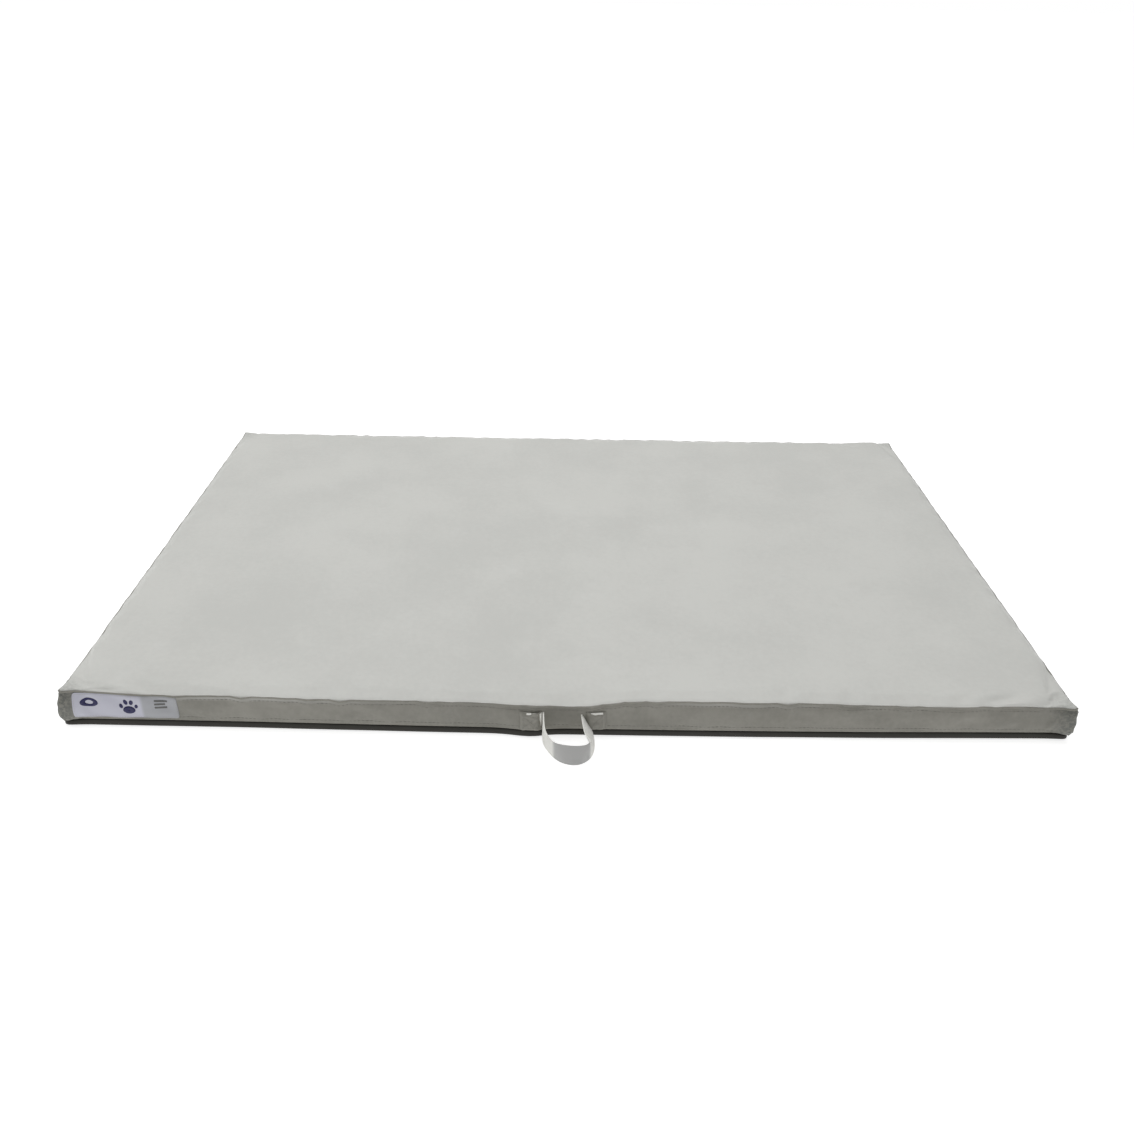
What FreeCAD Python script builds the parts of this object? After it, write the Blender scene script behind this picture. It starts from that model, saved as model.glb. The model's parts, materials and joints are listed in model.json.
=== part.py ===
# Animal weighing scale: a low platform with a padded, wipe-clean cover, carried on four load cells
# that stand in a shallow floor tray. Millimetres; +X right, +Y to the back, +Z up; the origin is on
# the floor under the middle of the platform.
import FreeCAD, Part
import math
import os
import re

import Sketcher
from FreeCAD import Placement, Rotation, Vector

doc = FreeCAD.newDocument("animal_scale")

# ---------------------------------------------------------------- driving dimensions
SIZES = [
    ("platform_length", 1200, "cover, left to right"),
    ("platform_depth", 800, "cover, front to back"),
    ("corner_radius", 8, "cover corners, seen from above"),
    ("foot_thickness", 3, "rubber feet under the tray"),
    ("tray_sheet", 2, "floor of the tray"),
    ("tray_wall", 2, "upstand of the tray"),
    ("tray_rise", 2.5, "upstand above the tray's floor"),
    ("trim_inset", 1, "edge trim behind the face of the cover"),
    ("trim_wall", 2, "outer leg of the edge trim"),
    ("trim_lip", 1, "edge trim over the upstand"),
    ("trim_grip", 1.5, "inner leg of the edge trim"),
    ("trim_gap", 0.6, "edge trim above the ground"),
    ("foot_past", 6, "corner foot beyond the end of its load cell"),
    ("foot_beside", 8, "corner foot beside its load cell"),
    ("foot_hole", 6, "hole in a foot round a screw head, radius"),
    ("middle_foot", 30, "middle foot, radius"),
    ("plate_thickness", 2, "steel plate under the fixed end of a load cell"),
    ("plate_length", 34, "steel plate under the fixed end of a load cell"),
    ("plate_beside", 2, "steel plate beside its load cell"),
    ("cell_length", 90, "load cell beam"),
    ("cell_width", 24, "load cell beam"),
    ("cell_height", 8, "load cell beam"),
    ("gauge_length", 16, "slot between the two gauge holes of a load cell"),
    ("gauge_hole", 2.6, "gauge hole, radius"),
    ("gauge_slot", 1.6, "slot between the gauge holes"),
    ("seal_length", 26, "rubber seal over the gauges"),
    ("seal_sheet", 0.8, "rubber seal over the gauges"),
    ("seal_margin", 1, "load cell above and below its seal"),
    ("cell_tap", 2.6, "thread in a load cell, radius"),
    ("tap_depth", 6, "thread in a load cell"),
    ("cell_across", 480, "middle of a load cell from the middle, along X"),
    ("cell_along", 300, "middle of a load cell from the middle, along Y"),
    ("bolt_reach", 30, "deck bolt from the middle of its load cell"),
    ("bush_room", 3, "room for a rubber bush between load cell and deck"),
    ("deck_travel", 0.6, "how far the deck sinks under its full load"),
    ("bush_radius", 12, "rubber bush"),
    ("bush_gap", 0.1, "room over a bush when the deck is fully down"),
    ("stop_gap", 0.05, "room over an overload stop when the deck is fully down"),
    ("stop_foot", 1.5, "round foot of an overload stop"),
    ("stop_foot_radius", 8, "round foot of an overload stop"),
    ("nut_corner", 5.8, "lock nut, from its middle to a corner"),
    ("nut_height", 5, "lock nut"),
    ("screw_radius", 2.5, "load cell screw"),
    ("screw_room", 2.7, "hole for a load cell screw, radius"),
    ("screw_bite", 5, "load cell screw inside the beam"),
    ("screw_head", 1.8, "load cell screw, height of its head"),
    ("screw_head_radius", 4.5, "load cell screw"),
    ("screw_key", 1.8, "hexagon socket of a load cell screw"),
    ("screw_key_depth", 1.2, "hexagon socket of a load cell screw"),
    ("skin_thickness", 1, "aluminium skins of the deck"),
    ("core_thickness", 9, "honeycomb core of the deck"),
    ("foam_thickness", 20, "comfort foam on the deck"),
    ("cover_thickness", 1, "coated cover cloth"),
    ("cover_bottom", 10, "lower edge of the cover above the ground"),
    ("hook_thickness", 1, "hook tape that holds the cover's hem"),
    ("frame_inset", 10, "deck edge behind the face of the cover"),
    ("frame_wall", 2, "web of the deck frame"),
    ("flange_depth", 16, "inward flanges of the deck frame"),
    ("flange_sheet", 1.5, "inward flanges of the deck frame"),
    ("skin_gap", 0.4, "room between the deck frame and the core"),
    ("bracket_leg", 70, "corner bracket"),
    ("bracket_width", 12, "legs of a corner bracket"),
    ("bracket_gap", 0.2, "room between a corner bracket and the deck frame"),
    ("rivet_radius", 1.6, "bracket rivet"),
    ("rivet_hole", 1.7, "hole for a rivet, radius"),
    ("bolt_radius", 3, "deck bolt and overload stop shank"),
    ("bolt_clearance", 0.3, "radial room round a bolt"),
    ("bolt_head", 2.9, "deck bolt, height of its head"),
    ("bolt_head_radius", 6, "deck bolt"),
    ("bolt_sink", 3, "seat of a deck bolt's head below the deck's top"),
    ("bolt_end", 2, "deck bolt's lower end above the underside of the beam"),
    ("bolt_key", 2.3, "hexagon socket of a deck bolt"),
    ("bolt_key_depth", 2, "hexagon socket of a deck bolt"),
    ("box_length", 100, "electronics box"),
    ("box_depth", 60, "electronics box"),
    ("box_height", 9.5, "electronics box without its lid"),
    ("box_wall", 2, "electronics box"),
    ("lid_sheet", 1.2, "lid of the electronics box"),
    ("post_radius", 3.5, "screw post of the electronics box"),
    ("post_inset", 6, "screw post from the sides of the box"),
    ("post_tap", 1.3, "thread in a screw post, radius"),
    ("post_floor", 3, "thread's end above the tray"),
    ("lid_hole", 1.6, "screw hole of the lid, radius"),
    ("lid_screw", 1.25, "lid screw, radius"),
    ("lid_screw_bite", 5, "lid screw inside its post"),
    ("lid_head", 0.8, "lid screw, height of its head"),
    ("lid_head_radius", 2.4, "lid screw"),
    ("board_stand", 3.4, "circuit board above the floor of its box"),
    ("board_sheet", 1.2, "circuit board"),
    ("board_ends", 12, "circuit board inside the box's ends"),
    ("board_sides", 1, "circuit board inside the box's long sides"),
    ("box_back", 320, "middle of the electronics box, along Y"),
    ("bay_length", 58, "battery case"),
    ("bay_depth", 48, "battery case"),
    ("bay_height", 11, "battery case above the tray's underside"),
    ("bay_wall", 1.5, "battery case"),
    ("bay_side", 1.95, "long sides of the battery case"),
    ("bay_back", 230, "middle of the battery case, along Y"),
    ("battery_radius", 5.25, "size AAA cell"),
    ("battery_length", 43.3, "size AAA cell without its tip"),
    ("battery_gap", 0.1, "room beside each cell"),
    ("battery_roof", 0.3, "room over the cells"),
    ("battery_shift", 0.3, "a cell's can towards its flat end"),
    ("tip_radius", 1.9, "tip of a cell"),
    ("tip_length", 1.2, "tip of a cell, partly inside the can"),
    ("contact_sheet", 0.4, "battery contact"),
    ("contact_side", 8, "battery contact, square"),
    ("contact_inset", 3.3, "battery contact from the end of the case"),
    ("door_sheet", 1.4, "battery door"),
    ("door_gap", 0.2, "room between the door and the tray"),
    ("door_past", 3, "door beyond each side of its case"),
    ("door_groove", 0.5, "grip grooves of the door"),
    ("door_groove_length", 20, "grip grooves of the door"),
    ("door_groove_width", 1.2, "grip grooves of the door"),
    ("rail_gap", 0.6, "room beside the door"),
    ("rail_width", 2, "upright part of a door rail"),
    ("rail_height", 2, "upright part of a door rail"),
    ("rail_past", 2, "door rail beyond each end of the door"),
    ("shelf_width", 4.5, "shelf under the door"),
    ("shelf_sheet", 0.6, "shelf under the door"),
    ("shelf_drop", 2.4, "shelf's lower face under the tray"),
    ("door_depth", 56, "battery door, along Y"),
    ("cable_radius", 1.5, "load cell cable"),
    ("entry_room", 0.1, "room round a cable in the end of the electronics box"),
    ("strap_width", 23, "webbing of the handle"),
    ("handle_middle", -6, "middle of the handle, along X"),
    ("strap_sheet", 1.8, "webbing of the handle"),
    ("strap_top", 32, "upper edge of the webbing at the cover"),
    ("loop_radius", 22.5, "handle loop, seen from above"),
    ("loop_leg", 34.5, "straight legs of the handle loop"),
    ("loop_droop", 8, "slope of the handle loop towards the ground, degrees"),
    ("bar_length", 120, "steel bar behind the sewn ends"),
    ("bar_lift", 1, "steel bar above the hem"),
    ("bar_sheet", 2, "steel bar behind the sewn ends"),
    ("bar_height", 16.5, "steel bar behind the sewn ends"),
    ("bar_room", 140, "recess in the foam for the steel bar"),
    ("bar_room_depth", 3.2, "recess in the foam, from the face of the cover"),
    ("handle_screw", 1.6, "handle screw, radius"),
    ("handle_hole", 1.7, "hole for a handle screw, radius"),
    ("handle_foam_hole", 2.2, "hole in the foam for a handle screw, radius"),
    ("handle_head", 1, "handle screw, height of its head"),
    ("handle_head_radius", 3, "handle screw"),
    ("anchor_gap", 1.5, "sewn end from the loop's middle line"),
    ("anchor_length", 21, "sewn end of the webbing"),
    ("patch_sheet", 0.7, "cloth patch over a sewn end"),
    ("patch_past", 5, "cloth patch, longer than the sewn end"),
    ("patch_over", 1.8, "cloth patch above the webbing"),
    ("patch_under", 0.8, "cloth patch below the webbing"),
    ("patch_room", 0.1, "room inside a patch round the webbing"),
    ("strap_gap", 0.3, "room between the loop and the sewn ends"),
    ("label_length", 122, "printed label"),
    ("label_height", 33, "printed label"),
    ("label_sheet", 0.4, "printed label"),
    ("label_foot", 2.5, "label above the cover's lower edge"),
    ("tape_width", 14, "hook tape"),
    ("tape_inset", 8, "middle of a hook tape inside the deck's edge"),
    ("tape_short", 120, "hook tape, shorter than its side"),
    ("hem_reach", 12, "hem under the deck frame"),
]
sheet = doc.addObject("Spreadsheet::Sheet", "Sizes")
for row, (alias, amount, meaning) in enumerate(SIZES, 1):
    sheet.set(f"A{row}", meaning)
    sheet.set(f"B{row}", str(amount))
    sheet.setAlias(f"B{row}", alias)
doc.recompute()
ALIASES = {alias for alias, _, _ in SIZES}

# Heights above the floor, each worked out from the sheet.
LEVELS = {
    "tray_bottom": "foot_thickness",
    "tray_top": "tray_bottom + tray_sheet",
    "flange_top": "tray_top + tray_rise",
    "cell_bottom": "tray_top + plate_thickness",
    "cell_top": "cell_bottom + cell_height",
    "deck_bottom": "cell_top + bush_room",
    "core_bottom": "deck_bottom + skin_thickness",
    "core_top": "core_bottom + core_thickness",
    "deck_top": "core_top + skin_thickness",
    "foam_top": "deck_top + foam_thickness",
    "hem_top": "cover_bottom + cover_thickness",
    "frame_bottom": "hem_top + hook_thickness",
    "box_top": "tray_top + box_height",
}


def cells(text):
    """The text with each size or level written as a reference to the cell or property that holds it."""

    def owner(match):
        word = match.group(0)
        if word in LEVELS:
            return f"Levels.{word}"
        return f"Sizes.{word}" if word in ALIASES else word

    return re.sub(r"[a-z_]+", owner, str(text))


levels = doc.addObject("App::FeaturePython", "Levels")
for level, rule in LEVELS.items():
    levels.addProperty("App::PropertyFloat", level)
    levels.setExpression(level, cells(rule))
doc.recompute()


def size(name):
    """The number in a cell or level, for the few shapes that are worked out in code."""
    return float(getattr(levels, name) if name in LEVELS else sheet.get(name))


# ---------------------------------------------------------------- building blocks
SUB_PARTS = []


def bind(thing, property_name, text):
    thing.setExpression(property_name, cells(text))


def place(thing, at):
    for axis, text in zip("xyz", at):
        bind(thing, f"Placement.Base.{axis}", text)
    return thing


def block(name, low, extent):
    """A box from its lowest corner."""
    thing = doc.addObject("Part::Box", name)
    for side, text in zip(("Length", "Width", "Height"), extent):
        bind(thing, side, text)
    return place(thing, low)


def middle_block(name, middle, bottom, extent):
    """A box with its middle at a place in plan."""
    low = [f"{at} - ({side})/2" for at, side in zip(middle, extent)]
    return block(name, (*low, bottom), extent)


def rod(name, at, radius, height, turn=Rotation()):
    """A cylinder that rises from a point, along +Z unless it is turned."""
    thing = doc.addObject("Part::Cylinder", name)
    bind(thing, "Radius", radius)
    bind(thing, "Height", height)
    thing.Placement = Placement(Vector(), turn)
    return place(thing, at)


def hexagon(name, at, corner_radius, height):
    thing = doc.addObject("Part::Prism", name)
    thing.Polygon = 6
    bind(thing, "Circumradius", corner_radius)
    bind(thing, "Height", height)
    return place(thing, at)


def cut(name, base, *tools):
    thing = doc.addObject("Part::Cut", name)
    thing.Base = base
    thing.Tool = tools[0] if len(tools) == 1 else fuse(f"{name}_tools", *tools)
    return thing


def fuse(name, *pieces):
    thing = doc.addObject("Part::MultiFuse", name)
    thing.Shapes = list(pieces)
    return thing


def common(name, one, other):
    thing = doc.addObject("Part::Common", name)
    thing.Base, thing.Tool = one, other
    return thing


def group(name, *pieces):
    """Separate solids that share one node."""
    thing = doc.addObject("Part::Compound", name)
    thing.Links = list(pieces)
    return thing


def sub_part(thing, label):
    """Marks an object as a finished sub-part, whose label names its file."""
    thing.Label = label
    SUB_PARTS.append(thing)
    return thing


def rectangle(body, name, length, depth):
    """A sketch of a rectangle about the body's origin."""
    sketch = body.newObject("Sketcher::SketchObject", name)
    base = next(f for f in body.Origin.OriginFeatures if f.Role == "XY_Plane")
    sketch.AttachmentSupport = [(base, "")]
    sketch.MapMode = "FlatFace"
    corners = [Vector(-2, -1, 0), Vector(2, -1, 0), Vector(2, 1, 0), Vector(-2, 1, 0)]
    for n in range(4):
        sketch.addGeometry(Part.LineSegment(corners[n], corners[(n + 1) % 4]))
    for n in range(4):
        sketch.addConstraint(Sketcher.Constraint("Coincident", n, 2, (n + 1) % 4, 1))
        sketch.addConstraint(Sketcher.Constraint("Vertical" if n % 2 else "Horizontal", n))
    sketch.addConstraint(Sketcher.Constraint("Symmetric", 0, 1, 2, 1, -1, 1))
    for n, (way, text) in enumerate((("DistanceX", length), ("DistanceY", depth))):
        number = sketch.addConstraint(Sketcher.Constraint(way, n, 1, n, 2, 3.0 - n))
        bind(sketch, f"Constraints[{number}]", text)
    return sketch


def plate(name, middle, bottom, length, depth, height, radius):
    """A padded rectangle with rounded upright corners."""
    body = doc.addObject("PartDesign::Body", name)
    pad = body.newObject("PartDesign::Pad", f"{name}_pad")
    pad.Profile = rectangle(body, f"{name}_outline", length, depth)
    bind(pad, "Length", height)
    doc.recompute()
    upright = [
        f"Edge{n}"
        for n, edge in enumerate(pad.Shape.Edges, 1)
        if abs(edge.tangentAt(edge.FirstParameter).z) > 0.99
    ]
    corners = body.newObject("PartDesign::Fillet", f"{name}_corners")
    corners.Base = (pad, upright)
    bind(corners, "Radius", radius)
    return place(body, (*middle, bottom))


def outline_plate(name, inset, bottom, height):
    """A plate with the platform's outline, drawn in by an inset."""
    extent = (f"platform_length - 2*({inset})", f"platform_depth - 2*({inset})")
    return plate(name, ("0", "0"), bottom, *extent, height, f"max(corner_radius - ({inset}); 1)")


def band(name, inset, wall, bottom, height):
    """A ring with the platform's outline, drawn in by an inset, with a wall inwards."""
    outer = outline_plate(f"{name}_outer", inset, bottom, height)
    inner = outline_plate(f"{name}_inner", f"{inset} + {wall}", bottom, height)
    return cut(name, outer, inner)


CORNERS = {
    "front_left": (-1, -1),
    "front_right": (1, -1),
    "rear_left": (-1, 1),
    "rear_right": (1, 1),
}


def by_cell(side, end, along=0, across=0):
    """A place in plan measured from the middle of a load cell: outwards along it, and across it."""
    return (f"{side}*(cell_across + {along})", f"{end}*cell_along + {across}")


# ---------------------------------------------------------------- floor tray
def round_holes(name, places, radius, low, height):
    return [rod(f"{name}_{n}", (*spot, low), radius, height) for n, spot in enumerate(places)]


CELL_SCREW_REACH = (-38, -22)
PLATE_REACH = -30
STOP_REACH = 65
SCREW_SPOTS = [
    by_cell(side, end, reach) for side, end in CORNERS.values() for reach in CELL_SCREW_REACH
]
STOP_SPOTS = [by_cell(side, end, STOP_REACH) for side, end in CORNERS.values()]
BOLT_SPOTS = [by_cell(side, end, "bolt_reach") for side, end in CORNERS.values()]


def build_tray(tools):
    wall = "trim_inset + trim_wall"
    dish = outline_plate("tray_dish", wall, "tray_bottom", "tray_sheet + tray_rise")
    hollow = outline_plate("tray_hollow", f"{wall} + tray_wall", "tray_top", "tray_rise")
    bay = ("bay_length - 2*bay_wall", "bay_depth - 2*bay_wall", "tray_sheet")
    window = middle_block("tray_window", ("0", "bay_back"), "tray_bottom", bay)
    holes = round_holes("tray_screw_hole", SCREW_SPOTS, "screw_room", "tray_bottom", "tray_sheet")
    sub_part(cut("tray", dish, hollow, window, *holes), "base_tray")

    leg = band("trim_leg", "trim_inset", "trim_wall", "trim_gap", "flange_top + trim_lip - trim_gap")
    lip = band("trim_over", wall, "tray_wall + trim_grip", "flange_top", "trim_lip")
    inner_leg = band("trim_inner_leg", f"{wall} + tray_wall", "trim_grip", "tray_top", "tray_rise + trim_lip")
    four_lengths(fuse("trim", leg, lip, inner_leg), tools, "base_edge_trim")


def build_feet():
    extent = ("cell_length + 2*foot_past", "cell_width + 2*foot_beside")
    rounding = "cell_width/2 + foot_beside - 1"
    for corner, (side, end) in CORNERS.items():
        pad = plate(f"foot_pad_{corner}", by_cell(side, end), "0", *extent, "foot_thickness", rounding)
        spots = [by_cell(side, end, reach) for reach in CELL_SCREW_REACH]
        holes = round_holes(f"foot_hole_{corner}", spots, "foot_hole", "0", "foot_thickness")
        sub_part(cut(f"foot_{corner}_cut", pad, *holes), f"foot_{corner}")
    sub_part(rod("foot_middle", ("0", "0", "0"), "middle_foot", "foot_thickness"), "foot_centre")


# ---------------------------------------------------------------- load cells
def build_load_cells():
    across = Rotation(Vector(1, 0, 0), -90)
    beam = ("cell_length", "cell_width", "cell_height")
    bridge = ("gauge_length", "cell_width", "gauge_slot")
    z_mid = "cell_bottom + cell_height/2"
    for corner, (side, end) in CORNERS.items():
        name = f"cell_{corner}"
        centre = by_cell(side, end)
        bar = middle_block(f"{name}_bar", centre, "cell_bottom", beam)
        slot = middle_block(f"{name}_slot", centre, f"{z_mid} - gauge_slot/2", bridge)
        eyes = []
        for way in (-1, 1):
            eye_at = (f"{centre[0]} + {way}*gauge_length/2", f"{centre[1]} - cell_width/2", z_mid)
            eyes.append(rod(f"{name}_eye_{way + 1}", eye_at, "gauge_hole", "cell_width", across))
        tap_spots = [by_cell(side, end, reach) for reach in CELL_SCREW_REACH]
        taps = round_holes(f"{name}_tap", tap_spots, "cell_tap", "cell_bottom", "tap_depth")
        bolt_at = (*by_cell(side, end, "bolt_reach"), "cell_bottom")
        bolt = rod(f"{name}_bolt", bolt_at, "bolt_radius + bolt_clearance", "cell_height")
        sub_part(cut(name, bar, *eyes, slot, *taps, bolt), f"load_cell_{corner}")


def build_cell_fixings():
    plates, seals, bushes = [], [], []
    pressed = "bush_room - deck_travel - bush_gap"
    foot = ("plate_length", "cell_width + 2*plate_beside", "plate_thickness")
    seal = ("seal_length", "seal_sheet", "cell_height - 2*seal_margin")
    for corner, (side, end) in CORNERS.items():
        slab = middle_block(f"plate_{corner}_slab", by_cell(side, end, PLATE_REACH), "tray_top", foot)
        spots = [by_cell(side, end, reach) for reach in CELL_SCREW_REACH]
        holes = round_holes(f"plate_{corner}_hole", spots, "screw_room", "tray_top", "plate_thickness")
        plates.append(cut(f"plate_{corner}", slab, *holes))
        for face in (-1, 1):
            spot = by_cell(side, end, 0, f"{face}*(cell_width/2 + seal_sheet/2)")
            seals.append(middle_block(f"seal_{corner}_{face + 1}", spot, "cell_bottom + seal_margin", seal))
        bush_at = (*by_cell(side, end, "bolt_reach"), "cell_top")
        ring = rod(f"bush_{corner}_ring", bush_at, "bush_radius", pressed)
        bore = rod(f"bush_{corner}_bore", bush_at, "bolt_radius + bolt_clearance", pressed)
        bushes.append(cut(f"bush_{corner}", ring, bore))
    sub_part(group("bushes", *bushes), "load_bushes")
    sub_part(group("plates", *plates), "cell_plates")
    sub_part(group("seals", *seals), "gauge_seals")


def build_cell_screws():
    screws = []
    length = "tray_sheet + plate_thickness + screw_bite"
    for n, spot in enumerate(SCREW_SPOTS):
        low = (*spot, "tray_bottom - screw_head")
        head = rod(f"cell_screw_{n}_head", low, "screw_head_radius", "screw_head")
        shank = rod(f"cell_screw_{n}_shank", (*spot, "tray_bottom"), "screw_radius", length)
        key = hexagon(f"cell_screw_{n}_key", low, "screw_key", "screw_key_depth")
        screws.append(cut(f"cell_screw_{n}", fuse(f"cell_screw_{n}_body", head, shank), key))
    sub_part(group("cell_screw_set", *screws), "cell_screws")


def build_overload_stops():
    stops, nuts = [], []
    length = "deck_bottom - deck_travel - stop_gap - tray_top"
    for n, spot in enumerate(STOP_SPOTS):
        foot = rod(f"stop_{n}_foot", (*spot, "tray_top"), "stop_foot_radius", "stop_foot")
        stud = rod(f"stop_{n}_stud", (*spot, "tray_top"), "bolt_radius", length)
        stops.append(fuse(f"stop_{n}", foot, stud))
        nut_at = (*spot, "tray_top + stop_foot")
        nut = hexagon(f"stop_nut_{n}_hex", nut_at, "nut_corner", "nut_height")
        bore = rod(f"stop_nut_{n}_bore", nut_at, "bolt_radius", "nut_height")
        nuts.append(cut(f"stop_nut_{n}", nut, bore))
    sub_part(group("stops", *stops), "overload_stops")
    sub_part(group("stop_nuts", *nuts), "overload_stop_nuts")


# ---------------------------------------------------------------- electronics and batteries
GRIP_START = 6
GRIP_STEP = 3
CABLE_ENTRIES = {"front": -12, "rear": 8}
ENTRY_HEIGHT = 3.5
# Parts on the circuit board: X, Y, length, depth, height.
CHIPS = {
    "converter": (-20, 6, 10, 8, 1.6),
    "processor": (4, 10, 12, 12, 1.4),
    "radio": (24, -12, 14, 18, 1.6),
    "terminals": (-8, -18, 32, 7, 2.8),
}


def cable_entries():
    """Holes through the ends of the electronics box."""
    sideways = Rotation(Vector(0, 1, 0), 90)
    entries = []
    for end, shift in CABLE_ENTRIES.items():
        for side in (-1, 1):
            at = (f"{side}*box_length/2 - box_wall", f"box_back + {shift}", f"tray_top + {ENTRY_HEIGHT}")
            name = f"box_entry_{end}_{side + 1}"
            entries.append(rod(name, at, "cable_radius + entry_room", "2*box_wall", sideways))
    return entries


def build_electronics():
    middle = ("0", "box_back")
    shell = middle_block("box_shell", middle, "tray_top", ("box_length", "box_depth", "box_height"))
    room = ("box_length - 2*box_wall", "box_depth - 2*box_wall", "box_height - box_wall")
    hollow = middle_block("box_room", middle, "tray_top + box_wall", room)
    corners = [
        (f"{side}*(box_length/2 - post_inset)", f"box_back + {end}*(box_depth/2 - post_inset)")
        for side, end in CORNERS.values()
    ]
    posts = round_holes("box_post", corners, "post_radius", "tray_top", "box_height")
    taps = round_holes("box_tap", corners, "post_tap", "tray_top + post_floor", "box_height")
    open_box = fuse("box_with_posts", cut("box_open", shell, hollow), *posts)
    sub_part(cut("box", open_box, *taps, *cable_entries()), "electronics_box")

    cap = middle_block("box_cap", middle, "box_top", ("box_length", "box_depth", "lid_sheet"))
    cap_holes = round_holes("box_cap_hole", corners, "lid_hole", "box_top", "lid_sheet")
    sub_part(cut("box_cap_cut", cap, *cap_holes), "electronics_lid")
    lid_screws = []
    for n, spot in enumerate(corners):
        head = rod(f"lid_screw_{n}_head", (*spot, "box_top + lid_sheet"), "lid_head_radius", "lid_head")
        low = (*spot, "box_top - lid_screw_bite")
        shank = rod(f"lid_screw_{n}_shank", low, "lid_screw", "lid_sheet + lid_screw_bite")
        lid_screws.append(fuse(f"lid_screw_{n}", head, shank))
    sub_part(group("lid_screw_set", *lid_screws), "lid_screws")

    board_bottom = "tray_top + box_wall + board_stand"
    inside = ("box_length - 2*box_wall", "box_depth - 2*box_wall")
    board = (f"{inside[0]} - 2*board_ends", f"{inside[1]} - 2*board_sides", "board_sheet")
    sub_part(middle_block("board", middle, board_bottom, board), "circuit_board")
    pieces = []
    for part, (x, y, *extent) in CHIPS.items():
        spot = (str(x), f"box_back + {y}")
        pieces.append(middle_block(f"chip_{part}", spot, f"{board_bottom} + board_sheet", extent))
    sub_part(group("chips", *pieces), "board_parts")


def build_battery_case():
    middle = ("0", "bay_back")
    shell = middle_block("bay_shell", middle, "tray_top", ("bay_length", "bay_depth", "bay_height"))
    neck = ("bay_length - 2*bay_wall", "bay_depth - 2*bay_wall", "tray_sheet")
    collar = middle_block("bay_collar", middle, "tray_bottom", neck)
    room = ("bay_length - 4*bay_wall", "bay_depth - 2*bay_side", "bay_height")
    hollow = middle_block("bay_room", middle, "tray_bottom", room)
    sub_part(cut("bay", fuse("bay_body", shell, collar), hollow), "battery_case")


def build_batteries():
    cans, contacts = [], []
    sideways = Rotation(Vector(0, 1, 0), 90)
    z = "tray_bottom + bay_height - battery_radius - battery_roof"
    leaf = ("contact_sheet", "contact_side", "contact_side")
    for n in range(4):
        way = 1 if n % 2 else -1
        y = f"bay_back + {n - 1.5}*2*(battery_radius + battery_gap)"
        can_at = (f"-battery_length/2 - {way}*battery_shift", y, z)
        can = rod(f"battery_{n}_can", can_at, "battery_radius", "battery_length", sideways)
        tip_middle = f"{way}*(battery_length/2 + tip_length/3 - battery_shift)"
        tip_at = (f"{tip_middle} - tip_length/2", y, z)
        tip = rod(f"battery_{n}_tip", tip_at, "tip_radius", "tip_length", sideways)
        cans.append(fuse(f"battery_{n}", can, tip))
        for end in (-1, 1):
            spot = (f"{end}*(bay_length/2 - contact_inset)", y)
            contacts.append(middle_block(f"contact_{n}_{end + 1}", spot, f"{z} - contact_side/2", leaf))
    sub_part(group("cans", *cans), "batteries")
    sub_part(group("contacts", *contacts), "battery_contacts")


def build_battery_door():
    half_door = "bay_length/2 + door_past"
    rails = []
    post = ("rail_width", "door_depth + 2*rail_past", "rail_height")
    shelf = ("shelf_width", "door_depth + 2*rail_past", "shelf_sheet")
    for side in (-1, 1):
        post_at = (f"{side}*({half_door} + rail_gap + rail_width/2)", "bay_back")
        shelf_at = (f"{side}*({half_door} + rail_gap + rail_width - shelf_width/2)", "bay_back")
        upper = middle_block(f"rail_{side + 1}_post", post_at, "tray_bottom - rail_height", post)
        lower = middle_block(f"rail_{side + 1}_shelf", shelf_at, "tray_bottom - shelf_drop", shelf)
        rails.append(fuse(f"rail_{side + 1}", upper, lower))
    sub_part(group("rails", *rails), "door_rails")

    door_bottom = "tray_bottom - door_gap - door_sheet"
    extent = (f"2*({half_door})", "door_depth", "door_sheet")
    leaf = middle_block("door_leaf", ("0", "bay_back"), door_bottom, extent)
    groove = ("door_groove_length", "door_groove_width", "door_groove")
    grips = []
    for n in range(4):
        spot = ("0", f"bay_back - door_depth/2 + {GRIP_START + GRIP_STEP * n}")
        grips.append(middle_block(f"door_grip_{n}", spot, door_bottom, groove))
    sub_part(cut("door", leaf, *grips), "battery_door")


# ---------------------------------------------------------------- cables inside the tray
CLIP_LENGTH = 8
CLIP_WIDTH = 12
CLIP_ROOF = 1.6
CLIP_ROOM = 0.15
CABLE_LIFT = 0.2


def rounded_path(points):
    """A wire of straight runs joined by tangent arcs, as large as the runs beside them allow."""
    edges, last = [], points[0]
    for before, corner, after in zip(points, points[1:], points[2:]):
        back, on = before - corner, after - corner
        half_turn = (math.pi - back.getAngle(on)) / 2
        reach = 0.45 * min(back.Length, on.Length)
        radius = reach / math.tan(half_turn)
        back.normalize()
        on.normalize()
        start, end = corner + back * reach, corner + on * reach
        inward = (back + on).normalize()
        middle = corner + inward * (radius / math.cos(half_turn) - radius)
        edges += [Part.LineSegment(last, start).toShape(), Part.Arc(start, middle, end).toShape()]
        last = end
    edges.append(Part.LineSegment(last, points[-1]).toShape())
    return Part.Wire(edges)


def cable(name, points, radius):
    """A round cable along a path."""
    path = rounded_path(points)
    first = path.Edges[0]
    circle = Part.Circle(points[0], first.tangentAt(first.FirstParameter), radius)
    tube = path.makePipeShell([Part.Wire([circle.toShape()])], True, True)
    thing = doc.addObject("Part::Feature", name)
    thing.Shape = tube if tube.ShapeType == "Solid" else Part.Solid(tube.Shells[0])
    share = thing.Shape.Volume / (math.pi * radius**2 * path.Length)
    print(f"{name}: {path.Length:.0f} mm long, volume {share:.3f} of its section times length")
    return thing


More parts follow.
